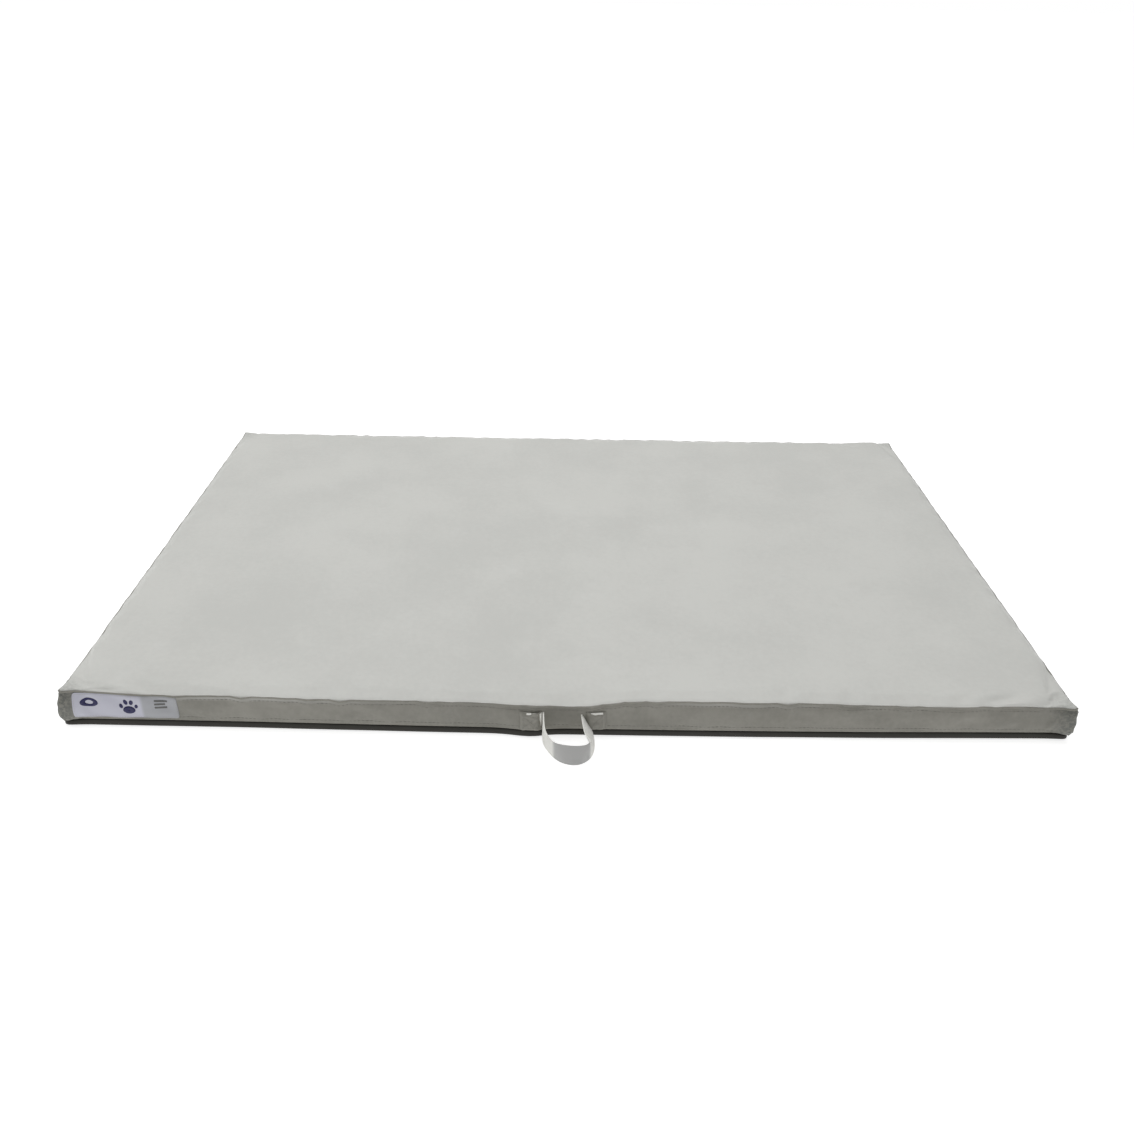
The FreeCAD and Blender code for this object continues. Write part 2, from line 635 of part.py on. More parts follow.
def cable_route(front):
    """A cable's way from a load cell on the right to the electronics box, along the tray's floor."""
    low = size("tray_top") + size("cable_radius") + CABLE_LIFT
    entry = size("tray_top") + ENTRY_HEIGHT
    leave = size("cell_bottom") + size("cell_height") / 2
    cell = size("cell_across") - size("cell_length") / 2
    row, wall = size("cell_along"), size("box_length") / 2
    goal = size("box_back") + CABLE_ENTRIES["front" if front else "rear"]
    y = -row if front else row
    start = [(cell, y, leave), (cell - 22, y, leave)]
    if front:
        run = [
            (cell - 60, y + 14, low),
            (cell - 95, y + 70, low),
            (cell - 105, 120, low),
            (cell - 150, 240, low),
            (wall + 90, goal - 8, low),
        ]
    else:
        run = [(cell - 60, y + 6, low), (wall + 150, y + 16, low), (wall + 60, goal, low + 0.4)]
    return start + run + [(wall + 18, goal, entry), (wall - 1, goal, entry)]


def build_cables():
    radius = size("cable_radius")
    clips = []
    for corner, (side, end) in CORNERS.items():
        front = end < 0
        points = [Vector(side * x, y, z) for x, y, z in cable_route(front)]
        sub_part(cable(f"cable_{corner}", points, radius), f"cell_cable_{corner}")
        for n in (2, 3) if front else (2,):
            one, two = points[n], points[n + 1]
            clips.append(saddle(f"clip_{corner}_{n}", (one + two) * 0.5, two - one, radius))
    sub_part(group("clips", *clips), "cable_clips")


def saddle(name, middle, along, radius):
    """A clip stuck to the tray over a cable that runs straight through it."""
    floor = size("tray_top")
    rise = middle.z - floor
    bore, past = radius + CLIP_ROOM, CLIP_LENGTH / 2 + 1
    low = Vector(-CLIP_LENGTH / 2, -CLIP_WIDTH / 2, 0)
    arch = Part.makeBox(CLIP_LENGTH, CLIP_WIDTH, 2 * radius + CLIP_ROOF, low)
    groove = Part.makeCylinder(bore, 2 * past, Vector(-past, 0, rise), Vector(1, 0, 0))
    slit = Part.makeBox(2 * past, 2 * bore, rise, Vector(-past, -bore, 0))
    thing = doc.addObject("Part::Feature", name)
    thing.Shape = arch.cut(groove.fuse(slit))
    heading = Rotation(Vector(1, 0, 0), Vector(along.x, along.y, 0))
    thing.Placement = Placement(Vector(middle.x, middle.y, floor), heading)
    return thing


# ---------------------------------------------------------------- deck
# Each handle screw: X from the handle's middle, and height.
HANDLE_SCREWS = [(-33, 15), (-41, 25), (33, 15), (41, 25)]


def handle_holes(name, front, radius, length):
    """Holes or shanks for the handle's screws, from a plane in front of the deck to the back."""
    back = Rotation(Vector(1, 0, 0), -90)
    return [
        rod(f"{name}_{n}", (f"handle_middle + {x}", front, str(z)), radius, length, back)
        for n, (x, z) in enumerate(HANDLE_SCREWS)
    ]


def mitre_tool(name, side, end):
    """An upright prism that keeps one side of the platform, between the diagonals of its corners."""
    x, y = size("platform_length") / 2 + 5, size("platform_depth") / 2 + 5
    if end:
        plan = [(-x, end * y), (x, end * y), (x - y, 0), (y - x, 0)]
    else:
        plan = [(side * x, -y), (side * x, y), (side * (x - y), 0)]
    points = [Vector(*spot, 0) for spot in plan]
    face = Part.Face(Part.makePolygon([*points, points[0]]))
    thing = doc.addObject("Part::Feature", name)
    thing.Shape = face.extrude(Vector(0, 0, size("foam_top") + 5))
    return thing


SIDES = {"front": (0, -1), "rear": (0, 1), "left": (-1, 0), "right": (1, 0)}


def split_by_side(ring, tools, label):
    return {side: common(f"{label}_{side}_part", ring, tool) for side, tool in tools.items()}


def four_lengths(ring, tools, label):
    """A ring made of four mitred lengths that share one node."""
    sub_part(group(f"{label}_lengths", *split_by_side(ring, tools, label).values()), label)


INSIDE_FRAME = "frame_inset + frame_wall"


def build_deck(tools):
    web = band("frame_web", "frame_inset", "frame_wall", "frame_bottom", "core_top - frame_bottom")
    flange = band("frame_flange", INSIDE_FRAME, "flange_depth", "frame_bottom", "flange_sheet")
    ledge = band("frame_ledge", INSIDE_FRAME, "flange_depth", "deck_bottom - flange_sheet", "flange_sheet")
    ring = fuse("frame_ring", web, flange, ledge)
    screw_holes = handle_holes("frame_hole", "-platform_depth/2", "handle_hole", INSIDE_FRAME)
    parts = split_by_side(ring, tools, "frame")
    parts["front"] = cut("frame_front_drilled", parts["front"], *screw_holes)
    for side, part in parts.items():
        sub_part(part, f"deck_frame_{side}")

    shank_room = "bolt_radius + bolt_clearance"
    head_room = "bolt_head_radius + bolt_clearance"
    seat = "bolt_sink + bolt_clearance"
    holes = round_holes("bolt_hole", BOLT_SPOTS, shank_room, "deck_bottom", "deck_top - deck_bottom")
    sinks = round_holes("bolt_seat", BOLT_SPOTS, head_room, f"deck_top - ({seat})", seat)
    drill = fuse("deck_drill", *holes, *sinks)
    inner = f"{INSIDE_FRAME} + skin_gap"
    low_skin = outline_plate("skin_low", inner, "deck_bottom", "skin_thickness")
    core = outline_plate("core", inner, "core_bottom", "core_thickness")
    top_skin = outline_plate("skin_top", "frame_inset", "core_top", "skin_thickness")
    for name, thing in (("bottom_skin", low_skin), ("core", core), ("top_skin", top_skin)):
        sub_part(cut(f"{name}_drilled", thing, drill), f"deck_{name}")


def build_deck_bolts():
    bolts = []
    length = "deck_top - bolt_sink - cell_bottom - bolt_end"
    for n, spot in enumerate(BOLT_SPOTS):
        seat = (*spot, "deck_top - bolt_sink")
        head = rod(f"deck_bolt_{n}_head", seat, "bolt_head_radius", "bolt_head")
        shank = rod(f"deck_bolt_{n}_shank", (*spot, "cell_bottom + bolt_end"), "bolt_radius", length)
        key_at = (*spot, "deck_top - bolt_sink + bolt_head - bolt_key_depth")
        key = hexagon(f"deck_bolt_{n}_key", key_at, "bolt_key", "bolt_key_depth")
        bolts.append(cut(f"deck_bolt_{n}", fuse(f"deck_bolt_{n}_body", head, shank), key))
    sub_part(group("bolts", *bolts), "deck_bolts")


RIVET_REACH = (30, 58)


def build_brackets():
    brackets, rivets = [], []
    floor = "frame_bottom + flange_sheet"
    height = "deck_bottom - 2*flange_sheet - frame_bottom - 2*bracket_gap"
    x_in = f"(platform_length/2 - ({INSIDE_FRAME}) - bracket_gap)"
    y_in = f"(platform_depth/2 - ({INSIDE_FRAME}) - bracket_gap)"
    room = f"{INSIDE_FRAME} + bracket_gap"
    middle_line = "bracket_width/2"
    for corner, (side, end) in CORNERS.items():
        legs = []
        for way, extent in (("x", ("bracket_leg", "bracket_width")), ("y", ("bracket_width", "bracket_leg"))):
            low = (low_end(side, x_in, extent[0]), low_end(end, y_in, extent[1]), floor)
            legs.append(block(f"bracket_{corner}_{way}", low, (*extent, height)))
        outline = outline_plate(f"bracket_{corner}_room", room, floor, height)
        shape = common(f"bracket_{corner}_plate", fuse(f"bracket_{corner}_legs", *legs), outline)
        reaches = [(reach, middle_line) for reach in RIVET_REACH]
        reaches += [(middle_line, reach) for reach in RIVET_REACH]
        spots = [(f"{side}*({x_in} - {a})", f"{end}*({y_in} - {b})") for a, b in reaches]
        holes = round_holes(f"bracket_{corner}_hole", spots, "rivet_hole", floor, height)
        brackets.append(cut(f"bracket_{corner}", shape, *holes))
        rivets += round_holes(f"rivet_{corner}", spots, "rivet_radius", floor, height)
    sub_part(group("brackets", *brackets), "corner_brackets")
    sub_part(group("rivets", *rivets), "bracket_rivets")


def low_end(side, outer, extent):
    """The lower end of a span that lies inside an outer limit, on the side given."""
    return f"{outer} - ({extent})" if side > 0 else f"-{outer}"


# ---------------------------------------------------------------- padding and cover
def build_padding(tools):
    sub_part(outline_plate("foam_sheet", "cover_thickness", "deck_top", "foam_thickness"), "foam_pad")
    wall = "frame_inset - cover_thickness"
    strip = band("foam_strip", "cover_thickness", wall, "hem_top", "deck_top - hem_top")
    room_size = ("bar_room", "bar_room_depth", "deck_top - hem_top")
    room = block("foam_bar_room", ("-bar_room/2", "-platform_depth/2", "hem_top"), room_size)
    holes = handle_holes("foam_hole", "-platform_depth/2", "handle_foam_hole", "frame_inset + 1")
    four_lengths(cut("foam_strip_cut", strip, room, *holes), tools, "foam_border")


def build_cover(tools):
    sub_part(outline_plate("cover_sheet", "0", "foam_top", "cover_thickness"), "cover_top")
    wall = band("cover_wall", "0", "cover_thickness", "cover_bottom", "foam_top - cover_bottom")
    parts = split_by_side(wall, tools, "cover")
    holes = handle_holes("cover_hole", "-platform_depth/2 - 1", "handle_hole", "cover_thickness + 2")
    parts["front"] = cut("cover_front_holed", parts["front"], *holes)
    for side, part in parts.items():
        sub_part(part, f"cover_{side}")
    hem = band("hem_ring", "cover_thickness", "frame_inset + hem_reach", "cover_bottom", "cover_thickness")
    four_lengths(hem, tools, "cover_hem")
    tapes = []
    for side, (across, along) in SIDES.items():
        x = f"{across}*(platform_length/2 - frame_inset - tape_inset)"
        y = f"{along}*(platform_depth/2 - frame_inset - tape_inset)"
        extent = ["platform_length - tape_short", "tape_width"]
        if across:
            extent = ["tape_width", "platform_depth - tape_short"]
        tapes.append(middle_block(f"hook_{side}", (x, y), "hem_top", (*extent, "hook_thickness")))
    sub_part(group("hooks", *tapes), "hook_tapes")


def build_label():
    x = "-platform_length/2 + corner_radius"
    y = "-platform_depth/2 - label_sheet"
    extent = ("label_length", "label_sheet", "label_height")
    sub_part(block("label_film", (x, y, "cover_bottom + label_foot"), extent), "label")


# ---------------------------------------------------------------- handle
FRONT = "-platform_depth/2 - strap_sheet"
LOW_EDGE = "strap_top - strap_width"


def build_handle_fixings():
    face = "-platform_depth/2"
    bar_low = ("handle_middle - bar_length/2", f"{face} + cover_thickness", "hem_top + bar_lift")
    bar = block("bar", bar_low, ("bar_length", "bar_sheet", "bar_height"))
    bar_holes = handle_holes("bar_hole", face, "handle_hole", "cover_thickness + bar_sheet + 1")
    sub_part(cut("bar_drilled", bar, *bar_holes), "handle_bar")

    heads = handle_holes("handle_screw_head", f"{FRONT} - handle_head", "handle_head_radius", "handle_head")
    reach = "strap_sheet + frame_inset + frame_wall"
    shanks = handle_holes("handle_screw_shank", FRONT, "handle_screw", reach)
    screws = [fuse(f"handle_screw_{n}", *pair) for n, pair in enumerate(zip(heads, shanks))]
    sub_part(group("handle_screw_set", *screws), "handle_screws")


def build_sewn_ends():
    """The webbing's two sewn ends, and a cloth patch over each, with room inside it for the webbing."""
    gap = "loop_radius + anchor_gap"
    drill = fuse("strap_drill", *handle_holes("strap_hole", f"{FRONT} - 1", "handle_hole", "strap_sheet + 2"))
    back_room = "strap_sheet + handle_head"
    room_length = "anchor_length + 1 + patch_room"
    ends, patches = [], []
    for side in (-1, 1):
        name = f"anchor_{side + 1}"
        flat_low = (span_low(side, gap, "anchor_length"), FRONT, LOW_EDGE)
        flat = block(f"{name}_flat", flat_low, ("anchor_length", "strap_sheet", "strap_width"))
        ends.append(cut(f"{name}_drilled", flat, drill))
        length = "anchor_length + patch_past"
        cloth_y = f"{FRONT} - handle_head - patch_sheet"
        cloth_low = (span_low(side, f"{gap} + 1", length), cloth_y, f"{LOW_EDGE} - patch_under")
        cloth_size = (length, f"{back_room} + patch_sheet", "strap_width + patch_over + patch_under")
        cloth = block(f"{name}_cloth", cloth_low, cloth_size)
        room_x = span_low(side, f"{gap} - 1", room_length)
        room_low = (room_x, f"{FRONT} - handle_head", f"{LOW_EDGE} - patch_room")
        room_size = (room_length, back_room, "strap_width + 2*patch_room")
        patches.append(cut(f"{name}_patch", cloth, block(f"{name}_room", room_low, room_size)))
    sub_part(group("strap_end_pair", *ends), "strap_ends")
    sub_part(group("patch_pair", *patches), "handle_patches")


def build_loop():
    """A band in the shape of a U, seen from above, cut by a slab that slopes towards the ground."""
    start = f"{FRONT} - strap_gap"
    turn = f"{FRONT} - loop_leg"
    tall = "strap_top + 2"
    half_turn = Rotation(Vector(0, 0, 1), 180)
    middle = ("handle_middle", turn, "0")
    far = rod("loop_outer", middle, "loop_radius + strap_sheet/2", tall, half_turn)
    far.Angle = 180
    near = rod("loop_inner", middle, "loop_radius - strap_sheet/2", tall)
    leg_size = ("strap_sheet", f"{start} - ({turn})", tall)
    legs = []
    for side in (-1, 1):
        x = f"handle_middle + {side}*loop_radius - strap_sheet/2"
        legs.append(block(f"loop_leg_{side + 1}", (x, turn, "0"), leg_size))
    slab = doc.addObject("Part::Box", "loop_slab")
    for way, text in (("Length", "4*loop_radius"), ("Width", "4*loop_radius"), ("Height", "strap_width")):
        bind(slab, way, text)
    slab.Placement = Placement(Vector(), Rotation(Vector(1, 0, 0), size("loop_droop")))
    drop = "4*loop_radius*sin(loop_droop * 1 deg)"
    back = "4*loop_radius*cos(loop_droop * 1 deg)"
    place(slab, ("handle_middle - 2*loop_radius", f"{start} - {back}", f"{LOW_EDGE} - {drop}"))
    sub_part(common("loop", fuse("loop_band", *legs, cut("loop_bend", far, near)), slab), "handle_strap")


def span_low(side, gap, extent):
    """The lower X of a span that starts a gap away from the handle's middle, on the side given."""
    return f"handle_middle + ({gap})" if side > 0 else f"handle_middle - ({gap}) - ({extent})"


# ---------------------------------------------------------------- the whole scale
sides = {name: mitre_tool(f"keep_{name}", *way) for name, way in SIDES.items()}
build_tray(sides)
build_feet()
build_load_cells()
build_cell_fixings()
build_cell_screws()
build_overload_stops()
build_electronics()
build_battery_case()
build_batteries()
build_battery_door()
build_cables()
build_deck(sides)
build_deck_bolts()
build_brackets()
build_padding(sides)
build_cover(sides)
build_label()
build_handle_fixings()
build_sewn_ends()
build_loop()
doc.recompute()

for thing in doc.Objects:
    if "Invalid" in thing.State or "Error" in thing.State:
        raise RuntimeError(f"{thing.Label} did not compute: {thing.State}")
os.makedirs("parts", exist_ok=True)
for thing in SUB_PARTS:
    if thing.Shape.isNull() or not thing.Shape.isValid() or not thing.Shape.Solids:
        raise RuntimeError(f"{thing.Label} has no sound shape")
for thing in SUB_PARTS:
    thing.Shape.exportStep(f"parts/{thing.Label}.step")
print(len(SUB_PARTS), "sub-parts written")
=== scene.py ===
# Looks of a padded animal weighing scale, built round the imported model. Metres, in the model's own frame:
# +X right, +Y to the back, +Z up, with the origin on the floor under the middle of the platform.
import json
import math

import bmesh
import bpy
from mathutils import Matrix, Vector, noise
from mathutils.bvhtree import BVHTree


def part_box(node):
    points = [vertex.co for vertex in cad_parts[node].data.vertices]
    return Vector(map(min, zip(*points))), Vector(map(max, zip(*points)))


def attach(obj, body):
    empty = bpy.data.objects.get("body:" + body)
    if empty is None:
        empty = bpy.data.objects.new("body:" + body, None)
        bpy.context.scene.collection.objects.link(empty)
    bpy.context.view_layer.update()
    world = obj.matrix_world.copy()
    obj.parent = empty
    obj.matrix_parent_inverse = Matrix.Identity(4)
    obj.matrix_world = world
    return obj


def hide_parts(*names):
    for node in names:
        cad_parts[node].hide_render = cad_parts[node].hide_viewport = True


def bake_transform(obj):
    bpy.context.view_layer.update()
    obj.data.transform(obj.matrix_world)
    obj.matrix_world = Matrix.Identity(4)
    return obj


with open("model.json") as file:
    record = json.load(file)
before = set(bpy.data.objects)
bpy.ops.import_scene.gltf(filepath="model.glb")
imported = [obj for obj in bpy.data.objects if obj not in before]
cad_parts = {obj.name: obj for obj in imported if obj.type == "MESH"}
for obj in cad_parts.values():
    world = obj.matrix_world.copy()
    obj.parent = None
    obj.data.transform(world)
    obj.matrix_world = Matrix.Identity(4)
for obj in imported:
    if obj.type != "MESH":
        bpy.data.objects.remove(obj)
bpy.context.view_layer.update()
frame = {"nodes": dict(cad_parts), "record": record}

NODES = frame["nodes"]
MM = 0.001

# ---------------------------------------------------------------- driving sizes, from the frame
TOP_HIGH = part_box("cover_top")[1]
HALF_LENGTH, HALF_DEPTH, TOP = TOP_HIGH.x, TOP_HIGH.y, TOP_HIGH.z
# The corner in plan of the trim and the foam, and the sharper one of the cloth.
CORNER = 8 * MM
COVER_CORNER = 3.5 * MM
TRIM_LOW, TRIM_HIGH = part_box("base_edge_trim")
TRIM_INSET = HALF_LENGTH - TRIM_HIGH.x
HEM_EDGE = TRIM_HIGH.z + 0.9 * MM
FACE = -HALF_DEPTH
LABEL_LOW, LABEL_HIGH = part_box("label")
# The sewn patch lies a little further right than the label of the CAD, and is a little longer.
LABEL_LOW.x += 3.0 * MM
LABEL_HIGH.x += 4.5 * MM
STRAP_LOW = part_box("handle_strap")[0]
ENDS_LOW, ENDS_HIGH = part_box("strap_ends")


# ---------------------------------------------------------------- camera, light and floor
WORLD_LIGHT = 0.50
OVERHEAD_POWER = 36
FILL_POWER = 13
FLOOR_GLOW = 0.66


def add_camera():
    """A camera that stands 1.6 m away, a little to the left, and looks 30 degrees down."""
    place = Vector((-0.0181, -1.3637, 0.7795))
    yaw, pitch, roll = (math.radians(a) for a in (0.68, 29.78, 1.22))
    forward = Vector((math.sin(yaw) * math.cos(pitch), math.cos(yaw) * math.cos(pitch), -math.sin(pitch)))
    right = Vector((math.cos(yaw), -math.sin(yaw), 0))
    up = right.cross(forward)
    side = right * math.cos(roll) + up * math.sin(roll)
    over = up * math.cos(roll) - right * math.sin(roll)
    data = bpy.data.cameras.new("camera")
    data.sensor_width = 36
    data.lens = 32.15
    camera = bpy.data.objects.new("camera", data)
    turn = Matrix((side, over, -forward)).transposed().to_4x4()
    camera.matrix_world = Matrix.Translation(place) @ turn
    bpy.context.scene.collection.objects.link(camera)
    bpy.context.scene.camera = camera


def add_light(name, place, target, size, power, shape="RECTANGLE"):
    data = bpy.data.lights.new(name, "AREA")
    data.shape = shape
    data.size, data.size_y = size
    data.energy = power
    light = bpy.data.objects.new(name, data)
    light.location = place
    light.rotation_euler = (Vector(target) - Vector(place)).to_track_quat("-Z", "Y").to_euler()
    bpy.context.scene.collection.objects.link(light)


def add_studio():
    world = bpy.data.worlds.new("studio")
    world.use_nodes = True
    w = Wiring(world.node_tree)
    seen = w.node("ShaderNodeLightPath").outputs["Is Camera Ray"]
    background = world.node_tree.nodes["Background"]
    background.inputs["Color"].default_value = (1.0, 1.0, 1.0, 1)
    w.feed(background.inputs["Strength"], w.ramp(seen, 0.0, 1.0, WORLD_LIGHT, 1.0, False))
    bpy.context.scene.world = world
    bpy.context.scene.view_settings.view_transform = "Standard"
    add_light("overhead", (0.15, 0.9, 2.6), (0, 0.1, 0), (3.2, 2.2), OVERHEAD_POWER)
    add_light("left_fill", (-2.4, -0.6, 1.7), (0, 0, 0), (1.6, 1.6), FILL_POWER)

    mesh = bpy.data.meshes.new("floor")
    far = 70
    mesh.from_pydata([(-far, -far, 0), (far, -far, 0), (far, far, 0), (-far, far, 0)], [], [(0, 1, 2, 3)])
    floor = bpy.data.objects.new("floor", mesh)
    bpy.context.scene.collection.objects.link(floor)
    finish = bpy.data.materials.new("pale_floor")
    finish.use_nodes = True
    shader = finish.node_tree.nodes["Principled BSDF"]
    shader.inputs["Base Color"].default_value = (0.70, 0.70, 0.70, 1)
    shader.inputs["Roughness"].default_value = 0.9
    shader.inputs["Specular IOR Level"].default_value = 0.1
    shader.inputs["Emission Color"].default_value = (1, 1, 1, 1)
    shader.inputs["Emission Strength"].default_value = FLOOR_GLOW
    mesh.materials.append(finish)


# ---------------------------------------------------------------- shader node groups
def new_group(name, build, **amounts):
    """A shader node group: a Vector and named amounts go in, and the values that build makes come out."""
    tree = bpy.data.node_groups.new(name, "ShaderNodeTree")
    tree.interface.new_socket("Vector", in_out="INPUT", socket_type="NodeSocketVector")
    for label, amount in amounts.items():
        tree.interface.new_socket(label, in_out="INPUT", socket_type="NodeSocketFloat").default_value = amount
    w = Wiring(tree)
    values = build(w, tree.nodes.new("NodeGroupInput").outputs)
    for label in values:
        tree.interface.new_socket(label, in_out="OUTPUT", socket_type="NodeSocketFloat")
    outside = tree.nodes.new("NodeGroupOutput").inputs
    for label, source in values.items():
        w.feed(outside[label], source)
    return tree


class Wiring:
    """Short calls for adding and joining shader nodes in one tree."""

    def __init__(self, tree):
        self.tree = tree

    def node(self, kind, inputs=None, **settings):
        node = self.tree.nodes.new(kind)
        for name, amount in settings.items():
            setattr(node, name, amount)
        for name, amount in (inputs or {}).items():
            self.feed(node.inputs[name], amount)
        return node

    def feed(self, socket, amount):
        if isinstance(amount, bpy.types.NodeSocket):
            self.tree.links.new(amount, socket)
        elif isinstance(amount, (tuple, list)) and len(amount) == 3 and socket.type == "RGBA":
            socket.default_value = (*amount, 1)
        else:
            socket.default_value = amount

    def math(self, operation, one, two=None, three=None):
        node = self.tree.nodes.new("ShaderNodeMath")
        node.operation = operation
        for socket, amount in zip(node.inputs, (one, two, three)):
            if amount is not None:
                self.feed(socket, amount)
        return node.outputs[0]

    def times(self, one, two):
        return self.math("MULTIPLY", one, two)

    def plus(self, one, two):
        return self.math("ADD", one, two)

    def ramp(self, source, low, high, to_low=0.0, to_high=1.0, smooth=True):
        node = self.tree.nodes.new("ShaderNodeMapRange")
        node.interpolation_type = "SMOOTHSTEP" if smooth else "LINEAR"
        for socket, amount in zip(node.inputs, (source, low, high, to_low, to_high)):
            self.feed(socket, amount)
        return node.outputs[0]

    def mix(self, factor, one, two):
        node = self.tree.nodes.new("ShaderNodeMix")
        node.data_type = "RGBA"
        self.feed(node.inputs[0], factor)
        self.feed(node.inputs[6], one)
        self.feed(node.inputs[7], two)
        return node.outputs[2]

    def noise(self, where, scale, detail=3.0, roughness=0.5):
        node = self.node("ShaderNodeTexNoise", {"Scale": scale, "Detail": detail, "Roughness": roughness})
        self.feed(node.inputs["Vector"], where)
        return node.outputs["Fac"]

    def cells(self, where, scale):
        return self.node("ShaderNodeTexVoronoi", {"Vector": where, "Scale": scale}).outputs["Distance"]

    def split(self, where):
        return self.node("ShaderNodeSeparateXYZ", {"Vector": where}).outputs

    def stretched(self, where, scale):
        return self.node("ShaderNodeMapping", {"Vector": where, "Scale": scale}).outputs[0]


def coated_weave(w, inside):
    """Polyurethane-coated cloth: a fine base weave under the film, soft mottling and rubbed patches."""
    where = inside["Vector"]
    rate = w.math("DIVIDE", math.tau, inside["Thread"])
    split = w.split(where)
    across = w.plus(split[0], w.times(split[2], 0.71))
    along = w.plus(split[1], w.times(split[2], 0.69))
    weave = w.times(w.math("SINE", w.times(across, rate)), w.math("SINE", w.times(along, rate)))
    leather = w.noise(where, 900.0, 4.0, 0.6)
    tone = w.plus(w.noise(where, 7.0, 5.0, 0.55), w.times(w.noise(where, 160.0, 3.0), 0.35))
    return {
        "Tone": w.times(w.math("SUBTRACT", tone, 0.675), inside["Mottle"]),
        "Rub": w.times(w.ramp(w.noise(where, 16.0, 6.0, 0.7), 0.56, 0.72), inside["Rubbed"]),
        "Height": w.plus(w.times(weave, 0.35), w.times(leather, 0.9)),
    }


def webbing_weave(w, inside):
    """Plain-woven webbing on the piece's own UV: U runs along the strap and V across, both in metres."""
    where = inside["Vector"]
    split = w.split(where)
    u = w.math("DIVIDE", split[0], inside["Pick"])
    v = w.math("DIVIDE", split[1], inside["End"])
    slant = w.plus(u, w.times(w.math("PINGPONG", v, 3.0), 0.5))
    picks = w.math("ABSOLUTE", w.math("SINE", w.times(slant, math.pi)))
    ends = w.math("ABSOLUTE", w.math("SINE", w.times(v, math.pi)))
    shade = w.times(w.math("POWER", picks, 0.6), w.math("POWER", ends, 0.45))
    fuzz = w.noise(w.stretched(where, (900, 2600, 1)), 1.0, 4.0, 0.65)
    return {"Shade": shade, "Fuzz": fuzz, "Height": w.plus(shade, w.times(fuzz, 0.35))}


def moulded_grain(w, inside):
    """Fine spark-eroded grain of moulded plastic and rubber, with a dusting of dirt and scuffs."""
    where = inside["Vector"]
    return {
        "Dirt": w.times(w.ramp(w.noise(where, 22.0, 7.0, 0.65), 0.45, 0.75), inside["Dust"]),
        "Scuff": w.ramp(w.noise(w.stretched(where, (12, 260, 60)), 1.0, 4.0), 0.62, 0.7),
        "Height": w.cells(where, inside["Grain"]),
    }


def metal_grain(w, inside):
    """Drawn or brushed metal: fine lines along X and cloudy oxide."""
    where = inside["Vector"]
    scaled = w.node("ShaderNodeVectorMath", {0: w.stretched(where, (0.01, 1, 1))}, operation="SCALE")
    w.feed(scaled.inputs["Scale"], inside["Line"])
    streak = w.noise(scaled.outputs[0], 1.0, 4.0, 0.7)
    cloud = w.noise(where, inside["Cloud"], 6.0)
    return {"Streak": streak, "Oxide": w.ramp(cloud, 0.42, 0.7), "Height": streak}


GROUPS = {
    "coated_weave": new_group("coated_weave", coated_weave, Thread=1.0 * MM, Mottle=0.5, Rubbed=0.3),
    "webbing_weave": new_group("webbing_weave", webbing_weave, Pick=1.5 * MM, End=1.3 * MM),
    "moulded_grain": new_group("moulded_grain", moulded_grain, Grain=1400.0, Dust=0.4),
    "metal_grain": new_group("metal_grain", metal_grain, Line=2200.0, Cloud=18.0),
}


# ---------------------------------------------------------------- materials
def start_material(name, **sockets):
    """A material with its Principled shader's uniform sockets set, and the wiring to finish it."""
    material = bpy.data.materials.new(name)
    material.use_nodes = True
    w = Wiring(material.node_tree)
    shader = material.node_tree.nodes["Principled BSDF"]
    for label, amount in sockets.items():
        w.feed(shader.inputs[label.replace("_", " ")], amount)
    return material, w, shader


# Colour of the painted highlight along the front band's upper edge.
EDGE_HIGHLIGHT_CLOTH = (0.46, 0.455, 0.43)


def use_group(w, name, where, **amounts):
    node = w.tree.nodes.new("ShaderNodeGroup")
    node.node_tree = GROUPS[name]
    w.feed(node.inputs["Vector"], where)
    for label, amount in amounts.items():
        w.feed(node.inputs[label], amount)
    return node.outputs


def bump(w, shader, height, depth, strength=1.0):
    """Depth is in metres."""
    node = w.node("ShaderNodeBump", {"Height": height, "Distance": depth, "Strength": strength})
    w.feed(shader.inputs["Normal"], node.outputs[0])


def own_place(w):
    return w.node("ShaderNodeTexCoord").outputs["Object"]


def own_map(w):
    return w.node("ShaderNodeTexCoord").outputs["UV"]


def painted(w, name):
    """A share that a piece carries on its points; nothing where the piece has none."""
    return w.node("ShaderNodeAttribute", attribute_name=name).outputs["Fac"]


def coated_cloth(name, tone, deep, pale, gathered, rough=0.46):
    """Cover cloth that ranges from a deep to a pale shade round its own tone. A painted highlight makes it
    paler along its upper edge, and painted shade makes it darker in the gathers of the corners."""
    sheen = {"Sheen_Weight": 0.06, "Sheen_Roughness": 0.5}
    material, w, shader = start_material(name, Specular_IOR_Level=0.42, **sheen)
    out = use_group(w, "coated_weave", own_place(w), Thread=1.1 * MM, Mottle=0.9, Rubbed=0.5)
    base = w.mix(w.ramp(out["Tone"], -0.2, 0.2), deep, tone)
    base = w.mix(w.times(out["Rub"], 0.45), base, pale)
    # Painted highlight: the front's upper edge turns paler where the attribute is set.
    base = w.mix(w.times(painted(w, "painted_edge_highlight"), 0.85), base, EDGE_HIGHLIGHT_CLOTH)
    # Painted shade in the corner gathers: the gathered colour goes where the gather attribute is set, broken
    # up by noise.
    crease_shade_breakup = w.ramp(w.noise(own_place(w), 300.0, 3.0, 0.6), 0.38, 0.6)
    dark = w.times(painted(w, "gather"), w.ramp(crease_shade_breakup, 0.0, 1.0, 0.3, 1.0, False))
    base = w.mix(dark, base, gathered)
    w.feed(shader.inputs["Base Color"], base)
    w.feed(shader.inputs["Roughness"], w.ramp(out["Rub"], 0.0, 1.0, rough, rough + 0.12, False))
    bump(w, shader, out["Height"], 0.12 * MM, 0.6)
    return material


